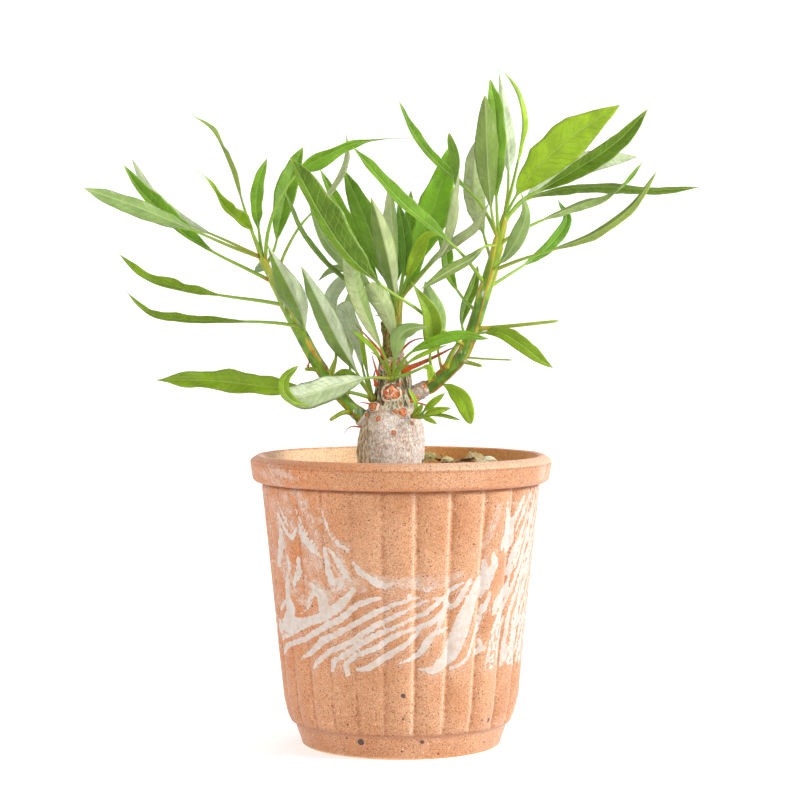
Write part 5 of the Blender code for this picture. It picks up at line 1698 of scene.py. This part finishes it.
@dataclass(frozen=True)
class ClayFinish:
    """Unglazed terracotta marbled with cream slip, with fine dark grit and a few blue-black spots."""

    spots: Sequence[Sequence[float]]
    spot_edge: float = 0.15

    def build(self) -> Material:
        """The material, which reads the slip's lines, phases and levels, the grit, the worn edges and the
        painted shade and highlight.

        Returns:
            The clay material.
        """
        w = Weave("marbled_clay", 0.66, 0.3)
        gritty, wear_and_shade = w.attribute("gritty"), w.attribute("wear_and_shade")
        ragged = w.swing(1.4, 3)
        bend = w.sum(w.product(w.swing(7.0, 3), 1.3), w.product(ragged, 0.5))
        slip = self.slip_mask(w, "phase", "level", bend)
        swirl = self.slip_mask(w, "swirl_phase", "swirl_level", w.product(bend, 1.6))
        cloud = w.noise(2.2, 3)
        crumbs = w.rise(w.noise(0.8, 3), 0.36, 0.56, 0.4, 1.0)
        swirl = w.product(swirl, w.rise(cloud, 0.30, 0.62, 0.2, 0.7), crumbs)
        fray = w.sum(w.product(ragged, 3.8), w.product(w.swing(0.5, 1), 1.4))
        near = w.sum(w.attribute("strand"), fray)
        strand = w.rise(near, -0.3, 0.25)
        hair = w.rise(w.math("SINE", w.product(near, 2.6)), 0.1, 0.9)
        hair = w.product(hair, w.rise(near, -5.5, -3.0), w.rise(w.noise(6.0, 2), 0.46, 0.58), 0.45)
        depth = w.sum(w.attribute("veil"), w.product(ragged, 5.0))
        feather = w.rise(w.math("SINE", w.product(depth, 3.2)), -0.5, 0.5, 0.35, 1.0)
        veil = w.product(w.rise(depth, -2.5, 2.5), feather)
        veil = w.product(veil, w.rise(w.noise(2.4, 4, roughness=0.6), 0.34, 0.62, 0.3, 1.0),
                         w.rise(w.noise(0.7, 3), 0.40, 0.54, 0.6, 1.0))
        slip = w.fold("MAXIMUM", (slip, swirl, strand, veil, hair))
        inner = w.attribute("inner")
        clay = w.coats(
            srgb(184, 128, 88),
            (w.rise(w.noise(16, 3), 0.35, 0.65), srgb(196, 145, 108)),
            (w.rise(cloud, 0.5, 0.75), 0.3, srgb(206, 162, 128)),
            # inside: painted light, pale on the lit left of the inner wall and darker orange on the shaded
            # right
            (inner, 0.9, w.mix(w.attribute("painted_light_inside"), srgb(222, 150, 76), srgb(248, 208, 166))),
            # real wear on the rim's top edge and the band's lower edge, more orange to the left, and the
            # bevel's wear kept to its shaded left: partly painted shade
            (wear_and_shade, w.rise(w.noise(1.8, 3), 0.3, 0.6, 0.3, 1.0), srgb(198, 118, 60)),
            # painted highlight: pale lines at the ribs' right edges and on the bevel, strong towards the
            # lit right
            (w.attribute("painted_highlight"), 0.5, srgb(238, 208, 178)),
            # painted shade along the creases between the ribs
            (w.attribute("crease"), w.rise(w.noise(2.0, 3), 0.4, 0.6), 0.55, srgb(150, 88, 48)))
        clay = w.shade(clay, w.rise(w.noise(0.42, 2), 0.34, 0.66, 0.80, 1.17))
        cream = w.mix(w.rise(cloud, 0.35, 0.7), srgb(199, 188, 180), srgb(193, 175, 160))
        cream = w.shade(cream, w.rise(ragged, -0.15, 0.15, 0.96, 1.04))
        hold = w.product(w.rise(slip, 0.0, 1.0, 1.0, 0.15), w.rise(inner, 0.0, 1.0, 1.0, 0.45))
        freckle = w.rise(w.noise(0.55, 1), 0.60, 0.68)
        medium = w.grains(1.3, 0.29, 0.42)
        coarse = w.product(w.grains(2.9, 0.50, 0.26), w.rise(gritty, 0.2, 0.8, 0.3, 1.0))
        pale = w.product(w.grains(1.7, 0.34, 0.30), w.rise(gritty, 0.1, 0.9, 0.45, 1.0))
        colour = w.coats(
            clay,
            (slip, cream),
            (freckle, hold, w.rise(gritty, 0.0, 1.0, 0.40, 0.66), srgb(118, 68, 42)),
            (w.grains(0.7, 0.22, 0.8), 0.6, hold, srgb(108, 64, 42)),
            (pale, 0.6, srgb(232, 206, 178)),
            (w.grains(3.0, 0.5, 0.25), 0.4, hold, srgb(160, 82, 44)),
            (medium, 0.8, hold, srgb(78, 48, 38)),
            (coarse, 0.9, hold, srgb(54, 38, 34)),
            (self.spot_mask(w), 0.9, srgb(52, 44, 52)),
            # painted shadow under the rim band, painted shade with some dirt in the groove above the foot,
            # and a dark line below the bevel
            (w.attribute("groove"), 0.8, srgb(122, 64, 26)))
        pits = w.rest(w.sum(w.product(medium, 0.5), w.product(coarse, 0.5)))
        lanes = w.noise(1.0, 2, w.stretch((0.12, 0.12, 1.0)))
        w.shader.inputs["Sheen Weight"].default_value = 0.22
        w.shader.inputs["Sheen Roughness"].default_value = 0.5
        return w.finish(colour, (w.noise(0.45, 3), 0.14), (pits, 0.14), (lanes, 0.07), (cloud, 0.12))

    def slip_mask(self, w: Weave, phase: str, level: str, bend: Socket) -> Socket:
        """1 on slip: where sin(2 pi (phase + bend)) + level + blotches passes zero.

        Args:
            w: the material under work.
            phase: name of the phase's attribute.
            level: name of the level's attribute.
            bend: what noise adds to the phase.

        Returns:
            The mask.
        """
        wave = w.math("SINE", w.product(w.sum(w.attribute(phase), bend), 2 * math.pi))
        blotch = w.product(w.swing(2.6, 3), 1.1)
        return w.rise(w.sum(wave, w.attribute(level), blotch), -0.10, 0.14)

    def spot_mask(self, w: Weave) -> Socket:
        """1 within the radius of a spot, with an uneven edge: the least of distance minus radius."""
        uneven = w.product(w.swing(1.0, 2), 0.8 * MM)
        depths = []
        for *place, radius in self.spots:
            node = w.nodes.new("ShaderNodeVectorMath")
            node.operation = "DISTANCE"
            w.put(node.inputs[0], w.place)
            node.inputs[1].default_value = tuple(value * MM for value in place)
            depths.append(w.math("SUBTRACT", node.outputs["Value"], radius * MM))
        return w.rise(w.sum(w.fold("MINIMUM", depths), uneven), 0.0, -self.spot_edge * MM)


@dataclass
class Pot:
    """The ribbed clay pot with its plain rim band and foot, drain holes and marbling."""

    node: str = "pot"
    rim_radius: float = 50.0
    height: float = 96.2
    band_height: float = 8.9
    foot_radius: float = 33.0
    mouth_radius: float = 46.2
    floor: float = 5.0
    floor_radius: float = 31.0
    rib_count: int = 25
    rib_depth: float = 1.25
    rib_width: float = 10.6
    rib_edge: float = 1.9
    rib_fade: tuple[float, float] = (7.6, 10.0)
    points_per_rib: int = 18
    first_crease_deg: float = 9.8
    rib_drift: float = 0.21
    rib_drift_deg: float = 40.0
    drain_holes: int = 3
    drain_radius: float = 3.5
    drain_circle: float = 15.0
    drain_columns: int = 40
    corner_round: float = 0.26
    # Large dark spots in the clay: picture x, y and radius in mm
    spots: Sequence[tuple[float, float, float]] = (
        (403, 696, 0.8), (361, 742, 1.2), (422, 742, 0.75), (489, 720, 0.8), (414, 571, 0.45),
        (427, 576, 0.4), (474, 544, 0.4), (353, 583, 0.45), (312, 606, 0.45), (458, 537, 0.45),
        (482, 556, 0.4),
    )

    def profile(self) -> tuple[Array, Array]:
        """The section: straight runs between corners, rounded by a running average, in chosen rows.

        Returns:
            Radius and height of each row, and 1 where the row is on the ribbed outside.
        """
        foot, rim, top = self.foot_radius, self.rim_radius, self.height
        band = top - self.band_height
        outside = [(3, 0), (foot - 0.7, 0), (foot - 0.1, 0.5), (foot + 0.5, 2.6), (foot + 1.4, 5.0),
                   (foot + 2.1, 7.3), (foot + 3.6, 8.2), (foot + 4.8, 10.6), (foot + 6.1, 15.8),
                   (42.3, 47.5), (46.2, band - 2.0), (46.2, band - 1.0), (45.7, band - 0.5)]
        lip = [(45.7, band), (rim - 2.0, band), (rim - 0.9, band + 0.9), (rim - 0.7, band + 1.8),
               (rim - 0.1, top - 2.6), (rim, top - 2.0), (rim - 0.4, top - 1.4), (rim - 2.6, top),
               (rim - 4.4, top - 0.3)]
        inside = [*INNER_WALL[::-1], (self.floor_radius, self.floor), (3, self.floor)]
        corners = np.array(outside + lip + inside, float)
        run = np.concatenate(((0.0,), np.cumsum(np.linalg.norm(np.diff(corners, axis=0), axis=1))))
        fine_step, window = 0.05, 24
        fine = np.arange(0, run[-1], fine_step)
        line = np.stack([np.interp(fine, run, corners[:, i]) for i in range(2)], axis=-1)
        reach = np.arange(-window, window + 1) * fine_step
        kernel = np.exp(-((reach / self.corner_round) ** 2) / 2)
        kernel /= kernel.sum()
        padded = np.pad(line, ((window, window), (0, 0)), "edge")
        soft = np.stack([np.convolve(padded[:, i], kernel, "valid") for i in range(2)], axis=-1)
        wall = run[len(outside) - 1]
        lip_end = run[len(outside) + len(lip) - 1]
        limits = (run[1] - 1, run[1] + 13, wall - 2, lip_end + 1, lip_end + 12)
        spacing = np.select([fine < limit for limit in limits], (8.0, 0.5, 1.1, 0.34, 1.2), 3.6)
        picks = np.unique(np.floor(np.cumsum(fine_step / spacing)), return_index=True)[1]
        ribbed = smoothstep(wall + 0.5, wall - 0.3, fine)
        return soft[picks], ribbed[picks]

    def rib_number(self, angle: Array) -> Array:
        """The ribs' running number at a turn: count (turn - first) / 2 pi + drift sin(2 (turn + phase))."""
        drift = self.rib_drift * np.sin(2 * (angle + math.radians(self.rib_drift_deg)))
        return self.rib_count * (angle - math.radians(self.first_crease_deg)) / (2 * np.pi) + drift

    def rib_angle(self, number: Array) -> Array:
        """The turn from the front at which the ribs' running number is reached, found in twenty steps."""
        angle = np.zeros(len(number))
        for _ in range(20):
            angle = angle + (number - self.rib_number(angle)) * 2 * np.pi / self.rib_count
        return angle

    def shell(self) -> Patch:
        """The whole pot without its holes: radius = profile - depth exp(-(gap / edge)^1.3) + unevenness.

        The gap is the way to the nearest crease between two ribs. The columns lie closer together there.

        Returns:
            The closed patch.
        """
        section, ribbed = self.profile()
        number = np.arange(self.rib_count * self.points_per_rib) / self.points_per_rib
        number = number - 0.75 / (2 * np.pi) * np.sin(2 * np.pi * number)
        angle = self.rib_angle(number)
        rise = np.clip((section[:, 1] - self.rib_fade[0]) / (self.rib_fade[1] - self.rib_fade[0]), 0, 1)
        gap = np.abs(number - np.round(number)) * self.rib_width
        wave = np.exp(-((gap / self.rib_edge) ** 1.3))
        to_right = np.sin(angle)
        even = 0.6 + 0.4 * smoothstep(-0.3, 0.06, to_right) + 0.3 * smoothstep(0.25, 0.6, to_right)
        depth = self.rib_depth * (rise * ribbed)[:, None] * (wave * even)[None, :]
        way = level_ways(angle)
        level = np.stack((np.zeros(len(section)), np.zeros(len(section)), section[:, 1]), axis=-1)
        first = section[:, 0][:, None, None] * way + level[:, None]
        thickness = smoothstep(3.0, 12.0, section[:, 0])[:, None]
        uneven = 0.10 * NOISE.layered(first, 17.0, 2)
        uneven = uneven + 0.035 * NOISE.layered(first * (0.25, 0.25, 1), 1.6, 2)
        depth = depth * (1 + 0.25 * NOISE.at(first * (1, 1, 0.35), 7.0))
        radius = section[:, 0][:, None] - depth + thickness * uneven
        points = radius[..., None] * way + level[:, None]
        standing = smoothstep(0.5, 3.0, section[:, 1])[:, None]
        points[..., 2] += 0.08 * standing * NOISE.at(first * (1, 1, 0.2), 15.0)
        return closed_grid(points)

    def drilled(self, shell: bpy.types.Object) -> bpy.types.Object:
        """The shell with its drain holes cut by Boolean differences, which are applied."""
        ring = np.full((2, self.drain_columns), self.drain_radius)
        for k, turn in enumerate(full_turn(self.drain_holes)):
            centre = np.array((math.sin(turn), math.cos(turn), 0.0)) * self.drain_circle
            ends = centre + np.array(((0, 0, -3.0), (0, 0, 2 * self.floor + 3.0)))
            plug = closed_grid(tube_points(ends, np.tile((0.0, 0.0, 1.0), (2, 1)), ring))
            cutter = mesh_object(f"drain_cutter_{k}", [plug])
            cut = shell.modifiers.new("drain", "BOOLEAN")
            cut.operation = "DIFFERENCE"
            cut.object = cutter
            cut.solver = "EXACT"
            bpy.context.view_layer.update()
            graph = bpy.context.evaluated_depsgraph_get()
            drilled = bpy.data.meshes.new_from_object(shell.evaluated_get(graph))
            shell.modifiers.clear()
            shell.data = drilled
            bpy.data.objects.remove(cutter)
        return shell

    def spot_places(self) -> list[list[float]]:
        """The places on the outer wall that show at the spots' picture points, in six steps, and radii."""
        section, _ = self.profile()
        wall = section[(section[:, 1] > 1.0) & (section[:, 1] < self.height - self.band_height - 1.0)]
        wall = wall[: len(wall) // 2 + 30]
        wall = wall[wall[:, 0] > self.foot_radius]
        order = np.argsort(wall[:, 1])
        places = []
        for px, py, size in self.spots:
            spot = VIEW.place(px, py, -40.0)
            for _ in range(6):
                radius = float(np.interp(spot[2], wall[order, 1], wall[order, 0]))
                spot = VIEW.place(px, py, -math.sqrt(max(radius**2 - spot[0] ** 2, 1.0)))
            places.append([*spot.tolist(), size])
        return places

    def surface_fields(self, points: Array) -> dict[str, Array]:
        """What the clay's finish reads at each vertex: marbling, grit, worn edges, painted shade and
        painted highlight.

        Args:
            points: places in mm.

        Returns:
            Arrays by the attribute's name.
        """
        x, z = points[:, 0], points[:, 2]
        top, band = self.height, self.height - self.band_height
        radius = np.hypot(x, points[:, 1])
        wall_radii, wall_heights = zip(*INNER_WALL)
        inner = np.interp(z, (self.floor, *wall_heights, top),
                          (self.floor_radius, *wall_radii, self.mouth_radius))
        outside = smoothstep(0.3, 1.4, radius - inner) * smoothstep(0.2, 1.0, z)
        fields = Marbling().fields(points, outside, band)
        gritty = np.maximum(smoothstep(26, 6, z), 0.3 * smoothstep(84, 88, z))
        fields["gritty"] = gritty * (0.2 + 0.8 * outside)
        rim_edge = smoothstep(top - 0.9, top - 0.2, z) * smoothstep(48.6, 47.6, radius)
        bevel = smoothstep(top - 2.5, top - 2.1, z) * outside
        # Wear on the bevel, kept to its left, which is in shade: partly painted shade, as the lit right
        # gets painted highlight instead
        bevel_wear_and_shade = 0.8 * bevel * smoothstep(24.0, -24.0, x)
        # More of the worn orange towards the left side, most higher up
        left_side_tone = 0.78 * smoothstep(-12.0, -38.0, x) * (0.6 + 0.4 * smoothstep(24.0, 36.0, z)) * outside
        under_edge = 0.8 * swell(z, band + 0.5, 0.5) * outside
        fields["wear_and_shade"] = np.max((rim_edge, bevel_wear_and_shade, left_side_tone, under_edge), axis=0)
        # Painted shadow under the rim band, a dark line just below the bevel, and painted shade with some
        # dirt in the groove above the foot
        shadow_and_dark_lines = (swell(z, band - 0.35, 0.5), 0.5 * swell(z, top - 2.6, 0.28), 0.6 * swell(z, 8.0, 0.8))
        fields["groove"] = np.max(shadow_and_dark_lines, axis=0) * outside
        fields["inner"] = 1 - outside
        # Painted light inside: 1 on the lit left of the inner wall, 0 on the shaded right
        fields["painted_light_inside"] = smoothstep(20.0, -30.0, x)
        rib = self.rib_number(np.arctan2(x, -points[:, 1])) % 1.0
        walled = smoothstep(8.0, 9.5, z) * smoothstep(band + 0.1, band - 0.6, z) * outside
        # Painted shade along the creases between the ribs
        fields["crease"] = swell(np.minimum(rib, 1 - rib) * self.rib_width, 0.0, 0.7) * walled
        # Painted highlight: a pale line by each rib's right edge, faint on the left and strong to the lit
        # right, and on the bevel, paler towards the right
        painted_highlight = swell((1 - rib) * self.rib_width, 1.2, 0.5) * walled
        painted_highlight = painted_highlight * (0.15 + 0.85 * smoothstep(-8.0, 3.0, x))
        fields["painted_highlight"] = np.maximum(painted_highlight, 0.75 * bevel * smoothstep(-30.0, 24.0, x))
        return fields

    def build(self) -> list[bpy.types.Object]:
        """Makes the pot in one piece and gives it its marbling.

        Returns:
            The piece.
        """
        pot = self.drilled(mesh_object("pot_clay", [self.shell()]))
        points = np.zeros(len(pot.data.vertices) * 3, np.float32)
        pot.data.vertices.foreach_get("co", points)
        fields = self.surface_fields(points.reshape(-1, 3).astype(float) / MM)
        for name, values in fields.items():
            write_attribute(pot.data, name, values)
        smooth_all(pot.data)
        pot.data.materials.clear()
        pot.data.materials.append(ClayFinish(self.spot_places()).build())
        take_place(pot, "marbled_clay", self.node)
        return [pot]


class SoilFinish:
    """Loose dry potting mix: dark brown crumbs with paler dust and specks of grit."""

    def build(self) -> Material:
        """The material of the soil's body."""
        w = Weave("gritty_soil", 0.95, 0.2)
        crumb = w.noise(1.6, 4, roughness=0.65)
        colour = w.coats(
            srgb(66, 46, 32),
            (w.rise(crumb, 0.35, 0.62), srgb(132, 98, 66)),
            (w.grains(1.5, 0.4, 0.25), srgb(206, 186, 154)),
            (w.grains(2.3, 0.6, 0.18), srgb(40, 32, 26)))
        return w.finish(colour, (crumb, 0.7), (w.noise(0.5, 2), 0.2))


class GritFinish:
    """Small stones, each of its own colour, dusty and dull."""

    def build(self) -> Material:
        """The material, which reads each stone's tint."""
        w = Weave("soil_grit", 0.8, 0.3)
        grain = w.noise(0.9, 3)
        colour = w.shade(w.attribute("tint", "Vector"), w.rise(grain, 0.3, 0.7, 0.75, 1.2))
        return w.finish(colour, (grain, 0.2))


@dataclass
class Soil:
    """The gritty soil that fills the pot round the taproot, with loose stones on top."""

    caudex: Caudex
    node: str = "soil"
    level: float = 88.6
    mound: float = 1.6
    floor: float = 5.3
    gap: float = 0.3
    columns: int = 200
    top_rows: int = 46
    roughness: float = 0.55
    bottom_radius: float = 30.4
    mouth: float = 43.0
    # A heap at the right: x, y, reach and rise in mm
    heap: tuple[float, float, float, float] = (22.0, 2.0, 9.0, 4.2)
    stone_count: int = 460
    stone_reach: float = 42.0
    stone_limit: float = 42.3
    stone_sizes: tuple[float, float] = (0.45, 1.5)
    # Larger stones: picture x, y and depth, half sizes in mm, and colour
    pebbles: Sequence[tuple] = (
        ((446, 462, 3), (1.5, 1.2, 1.0), srgb(150, 128, 84)),
        ((458, 463, -6), (1.3, 1.1, 0.9), srgb(110, 92, 60)),
        ((500, 463, 5), (1.5, 1.1, 1.0), srgb(140, 104, 66)),
    )
    # Flakes of dry leaf litter: picture x, y and depth, length, width and lean in degrees, and colour
    flakes: Sequence[tuple] = (
        ((474, 457, 4), 7.0, 4.0, 52.0, srgb(196, 176, 130)),
        ((488, 458, 6), 7.5, 3.6, 24.0, srgb(206, 200, 172)),
        ((482, 460, 0), 5.5, 3.0, 12.0, srgb(186, 176, 140)),
        ((430, 455, 4), 4.5, 3.2, 48.0, srgb(176, 166, 112)),
        ((435, 457, 2), 5.0, 2.6, 20.0, srgb(150, 140, 88)),
        ((440, 459, 8), 5.5, 2.8, -18.0, srgb(168, 156, 108)),
        ((448, 459, 4), 5.0, 3.0, 40.0, srgb(190, 178, 128)),
        ((456, 461, 6), 6.0, 3.0, 8.0, srgb(160, 146, 98)),
        ((464, 460, 2), 5.0, 2.4, -24.0, srgb(130, 112, 66)),
        ((494, 461, 2), 5.5, 2.4, 10.0, srgb(172, 152, 108)),
        ((428, 460, -4), 4.5, 2.6, 16.0, srgb(120, 108, 64)),
        ((504, 463, 8), 4.5, 2.4, 20.0, srgb(150, 124, 82)),
    )
    loose_flakes: int = 26
    palette: Sequence[Colour] = (
        srgb(96, 68, 46), srgb(136, 104, 72), srgb(176, 150, 116), srgb(214, 198, 168), srgb(120, 112, 104),
        srgb(70, 50, 38), srgb(160, 116, 76),
    )

    def wall_radius(self, height: float) -> float:
        """The pot's inner radius at a height."""
        radii, heights = zip(*INNER_WALL)
        return float(np.interp(height, heights, radii))

    def surface(self, x: Array, y: Array, share: Array) -> Array:
        """The top's height: level + mound share + a heap at one side + layered noise."""
        at_x, at_y, reach, rise = self.heap
        heap = rise * np.exp(-(((x - at_x) / reach) ** 2) - ((y - at_y) / (1.6 * reach)) ** 2)
        flat = np.stack((x, y, 0 * x), axis=-1)
        crumbs = NOISE.layered(flat, 3.0, 3)
        heaped = self.mound * share + heap * smoothstep(0.0, 0.2, share)
        return self.level + heaped + self.roughness * crumbs

    def height_at(self, x: float, y: float, reach: float) -> float:
        """The top's height at a place whose distance from the pot's axis is the reach."""
        return float(self.surface(np.array(x), np.array(y), np.array(1 - reach / self.mouth)))

    def body_patch(self) -> Patch:
        """The body: rings down the outer wall, over the top to the trunk, and down round the taproot.

        Returns:
            The closed patch.
        """
        way = level_ways(full_turn(self.columns))
        rings = [way * self.bottom_radius + (0, 0, self.floor)]
        for height in (12.0, 40.0, 70.0, self.level - 1.5):
            rings.append(way * (self.wall_radius(height) - self.gap - 0.1) + (0, 0, height))
        roots = self.caudex.rings()
        roots = roots[roots[:, 0] < self.level + self.mound]
        _, top_x, top_radius = roots[-1]
        outer = self.wall_radius(self.level) - self.gap - 0.2
        for share in np.linspace(0, 0.93, self.top_rows):
            radius = outer + (top_radius + self.gap - outer) * share
            ring = way * radius + (top_x * share, 0, 0)
            ring[:, 2] = self.surface(ring[:, 0], ring[:, 1], np.full(self.columns, share))
            rings.append(ring)
        last_height = self.level + self.mound
        for height, x, radius in [(last_height, top_x, top_radius), *roots[::-1]]:
            rings.append(way * (radius + self.gap + 0.3) + (x, 0, min(height, last_height)))
        rings[-1] = rings[-1] - (0, 0, self.gap)
        return closed_grid(np.array(rings))

    def stone(self, centre: Array, sizes: Array, draw: np.random.Generator, tint: Colour) -> Patch:
        """A stone: a ball of three rings of seven points, stretched, turned and roughened.

        Args:
            centre: its middle in mm.
            sizes: its three half sizes.
            draw: source of its random shape.
            tint: its colour.

        Returns:
            The patch with the attribute tint.
        """
        tilt = np.radians((38.0, 90.0, 142.0))[:, None]
        turn = full_turn(7)[None, :]
        ball = np.stack(np.broadcast_arrays(np.sin(tilt) * np.cos(turn), np.sin(tilt) * np.sin(turn),
                                            np.cos(tilt)), axis=-1)
        shape = ball.shape[:2]
        ball = ball * draw.uniform(0.78, 1.15, (*shape, 1)) * sizes
        spin = turn_about(2, draw.uniform(0, 2 * np.pi))
        lean = turn_about(0, draw.uniform(-0.5, 0.5))
        points = ball @ lean.T @ spin.T + centre
        return closed_grid(points, {"tint": np.broadcast_to(np.array(tint), (*shape, 3))})

    def flake(self, centre: Array, length: float, width: float, lean_deg: float, draw: np.random.Generator,
              tint: Colour) -> Patch:
        """A dry leaf flake: a thin pointed lens, curled along its length and crumpled by random bends.

        Args:
            centre: its middle in mm.
            length: along it, in mm.
            width: across it, in mm.
            lean_deg: how steeply it leans up.
            draw: source of its random shape.
            tint: its colour.

        Returns:
            The patch with the attribute tint.
        """
        rows, columns = 9, 10
        run = np.linspace(-0.96, 0.96, rows)[:, None]
        turn = full_turn(columns)[None, :]
        wide = width / 2 * (1 - run**2) ** 0.8 * (1 + 0.35 * draw.uniform(-1, 1, (rows, 1)))
        x = length / 2 * run + 0 * turn
        y = wide * np.cos(turn)
        curl = 0.22 * length * run**2 * draw.uniform(-1, 1)
        curl = curl + 0.35 * (y / width) ** 2 * width * draw.uniform(-1, 1)
        z = curl + 0.10 * width * draw.uniform(-1, 1, (rows, 1)) * np.sign(y) + 0.05 * np.sin(turn)
        turned = turn_about(2, draw.uniform(-0.5, 0.5)) @ turn_about(0, math.radians(lean_deg))
        points = np.stack((x, y, z), axis=-1) @ turned.T + centre
        return closed_grid(points, {"tint": np.broadcast_to(np.array(tint), (rows, columns, 3))})

    def grit_patches(self) -> list[Patch]:
        """The loose stones, sunk in the surface and most of them small, the pebbles and the flakes."""
        draw = np.random.default_rng(5)
        stones = []
        trunk_x, trunk_radius = -3.1, 11.6
        for _ in range(self.stone_count):
            turn = draw.uniform(0, 2 * np.pi)
            reach = self.stone_reach * math.sqrt(draw.uniform(0.02, 1.0))
            x, y = reach * math.sin(turn), -reach * math.cos(turn)
            sizes = draw.uniform(*self.stone_sizes) ** 1.4 * draw.uniform(0.6, 1.0, 3)
            in_trunk = math.hypot(x - trunk_x, y) < trunk_radius + sizes.max()
            if in_trunk or reach > self.stone_limit - sizes.max():
                continue
            height = self.height_at(x, y, reach)
            tint = self.palette[draw.integers(len(self.palette))]
            stones.append(self.stone(np.array((x, y, height + 0.25 * sizes[2])), sizes, draw, tint))
        for place, sizes, tint in self.pebbles:
            stones.append(self.stone(VIEW.place(*place), np.array(sizes), draw, tint))
        for place, length, width, lean, tint in self.flakes:
            stones.append(self.flake(VIEW.place(*place), length, width, lean, draw, tint))
        for turn in draw.uniform(0, 2 * np.pi, self.loose_flakes):
            reach = draw.uniform(16.0, 38.0)
            x, y = reach * math.sin(turn), -reach * math.cos(turn)
            size_and_lean = draw.uniform((2.5, 1.2, -25), (5.5, 2.6, 25))
            tint = srgb(*draw.uniform((130, 112, 70), (196, 180, 134)))
            centre = np.array((x, y, self.height_at(x, y, reach) + 0.5))
            stones.append(self.flake(centre, *size_and_lean, draw, tint))
        return stones

    def build(self) -> list[bpy.types.Object]:
        """Makes the soil's body and its loose stones.

        Returns:
            The pieces.
        """
        pieces = [mesh_object("soil_body", [self.body_patch()], SoilFinish().build()),
                  mesh_object("soil_grit", self.grit_patches(), GritFinish().build())]
        for piece in pieces:
            take_place(piece, "gritty_soil", self.node)
        return pieces


@dataclass(frozen=True)
class Lamp:
    """A square soft light: its place in mm, side in mm and power in watts."""

    name: str
    place: Point
    side: float
    power: float

    def build(self, target: Vector) -> None:
        """Makes the light and turns it to a target in metres."""
        data = bpy.data.lights.new(self.name, "AREA")
        data.shape = "SQUARE"
        data.size = self.side * MM
        data.energy = self.power
        lamp = bpy.data.objects.new(self.name, data)
        lamp.location = Vector(self.place) * MM
        lamp.rotation_euler = (target - lamp.location).to_track_quat("-Z", "Y").to_euler()
        bpy.context.scene.collection.objects.link(lamp)


@dataclass
class Studio:
    """A plain pale floor that rises into a backdrop all round, soft lamps and the camera."""

    floor_radius: float = 2200.0
    wall_height: float = 2600.0
    cove: float = 1200.0
    columns: int = 96
    sensor: float = 36.0
    glow: float = 0.40
    sky: float = 0.45
    target: Point = (0.0, 0.0, 110.0)
    lamps: Sequence[Lamp] = (
        Lamp("key_lamp", (1500.0, -480.0, 950.0), 500.0, 30.0),
        Lamp("fill_lamp", (-1300.0, -1200.0, 700.0), 1200.0, 3.0),
        Lamp("back_lamp", (300.0, 1300.0, 1200.0), 1000.0, 4.0),
    )

    def floor(self) -> bpy.types.Object:
        """The floor: a turned profile, flat to a radius, then a quarter circle up into an upright wall."""
        bend = np.linspace(0, np.pi / 2, 16)
        radius = np.concatenate(((1.0, 300.0, 800.0), self.floor_radius + self.cove * np.sin(bend),
                                 (self.floor_radius + self.cove,)))
        height = np.concatenate((np.zeros(3), self.cove * (1 - np.cos(bend)), (self.wall_height,)))
        way = level_ways(full_turn(self.columns))
        points = radius[:, None, None] * way + height[:, None, None] * np.array((0, 0, 1.0))
        sheet = closed_grid(points)
        sheet.triangles = sheet.triangles[: len(sheet.triangles) // 2]
        weave = Weave("studio_floor", 0.9, 0.1)
        weave.shader.inputs["Emission Color"].default_value = (1.0, 1.0, 1.0, 1.0)
        weave.shader.inputs["Emission Strength"].default_value = self.glow
        tone = weave.mix(weave.noise(180, 2), (0.86, 0.86, 0.86), (0.9, 0.9, 0.9))
        return mesh_object("studio_floor", [sheet], weave.finish(tone))

    def build(self) -> None:
        """Sets up floor, sky, lamps and camera."""
        scene = bpy.context.scene
        self.floor()
        world = bpy.data.worlds.new("studio_sky")
        world.use_nodes = True
        background = world.node_tree.nodes["Background"]
        background.inputs["Color"].default_value = (1.0, 1.0, 1.0, 1.0)
        background.inputs["Strength"].default_value = self.sky
        scene.world = world
        for lamp in self.lamps:
            lamp.build(Vector(self.target) * MM)
        scene.view_settings.view_transform = "Standard"
        data = bpy.data.cameras.new("camera")
        data.sensor_width = self.sensor
        data.lens = self.sensor * VIEW.focal / VIEW.picture_side
        data.shift_x = (VIEW.picture_side / 2 - VIEW.centre_x) / VIEW.picture_side
        data.clip_start, data.clip_end = 0.05, 20.0
        camera = bpy.data.objects.new("camera", data)
        camera.location = Vector(VIEW.eye()) * MM
        camera.rotation_euler = (math.radians(90 - VIEW.tilt_deg), 0.0, 0.0)
        scene.collection.objects.link(camera)
        scene.camera = camera


def main() -> None:
    """Builds every sub-assembly in order, then the studio."""
    logging.basicConfig(level=logging.INFO, format="%(message)s")
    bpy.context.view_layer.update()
    caudex = Caudex()
    finishes = FoliageFinishes.build()
    pieces = Pot().build() + Soil(caudex).build() + caudex.build()
    stems = (
        LeafyStem("leafy_stem_left", LEFT_STEM, LEFT_LEAVES, LEFT_SHOULDER, LEFT_SPINES, LEFT_STALKS),
        LeafyStem("leafy_stem_middle", MIDDLE_STEM, MIDDLE_LEAVES, MIDDLE_SHOULDER, MIDDLE_SPINES,
                  first_number=20),
        LeafyStem("leafy_stem_right", RIGHT_STEM, RIGHT_LEAVES, RIGHT_SHOULDER, RIGHT_SPINES, RIGHT_STALKS,
                  first_number=40),
        LeafyStem("leaf_sprout", SPROUT_STEM, SPROUT_LEAVES, first_number=90),
        LeafTuft("leaf_tuft_front", FRONT_LEAVES, first_number=70),
        LeafTuft("leaf_tuft_side", SIDE_LEAVES, first_number=80),
    )
    for stem in stems:
        pieces += stem.build(finishes)
    Studio().build()
    LOG.info("%d pieces made", len(pieces))


if __name__ == "__main__":
    main()
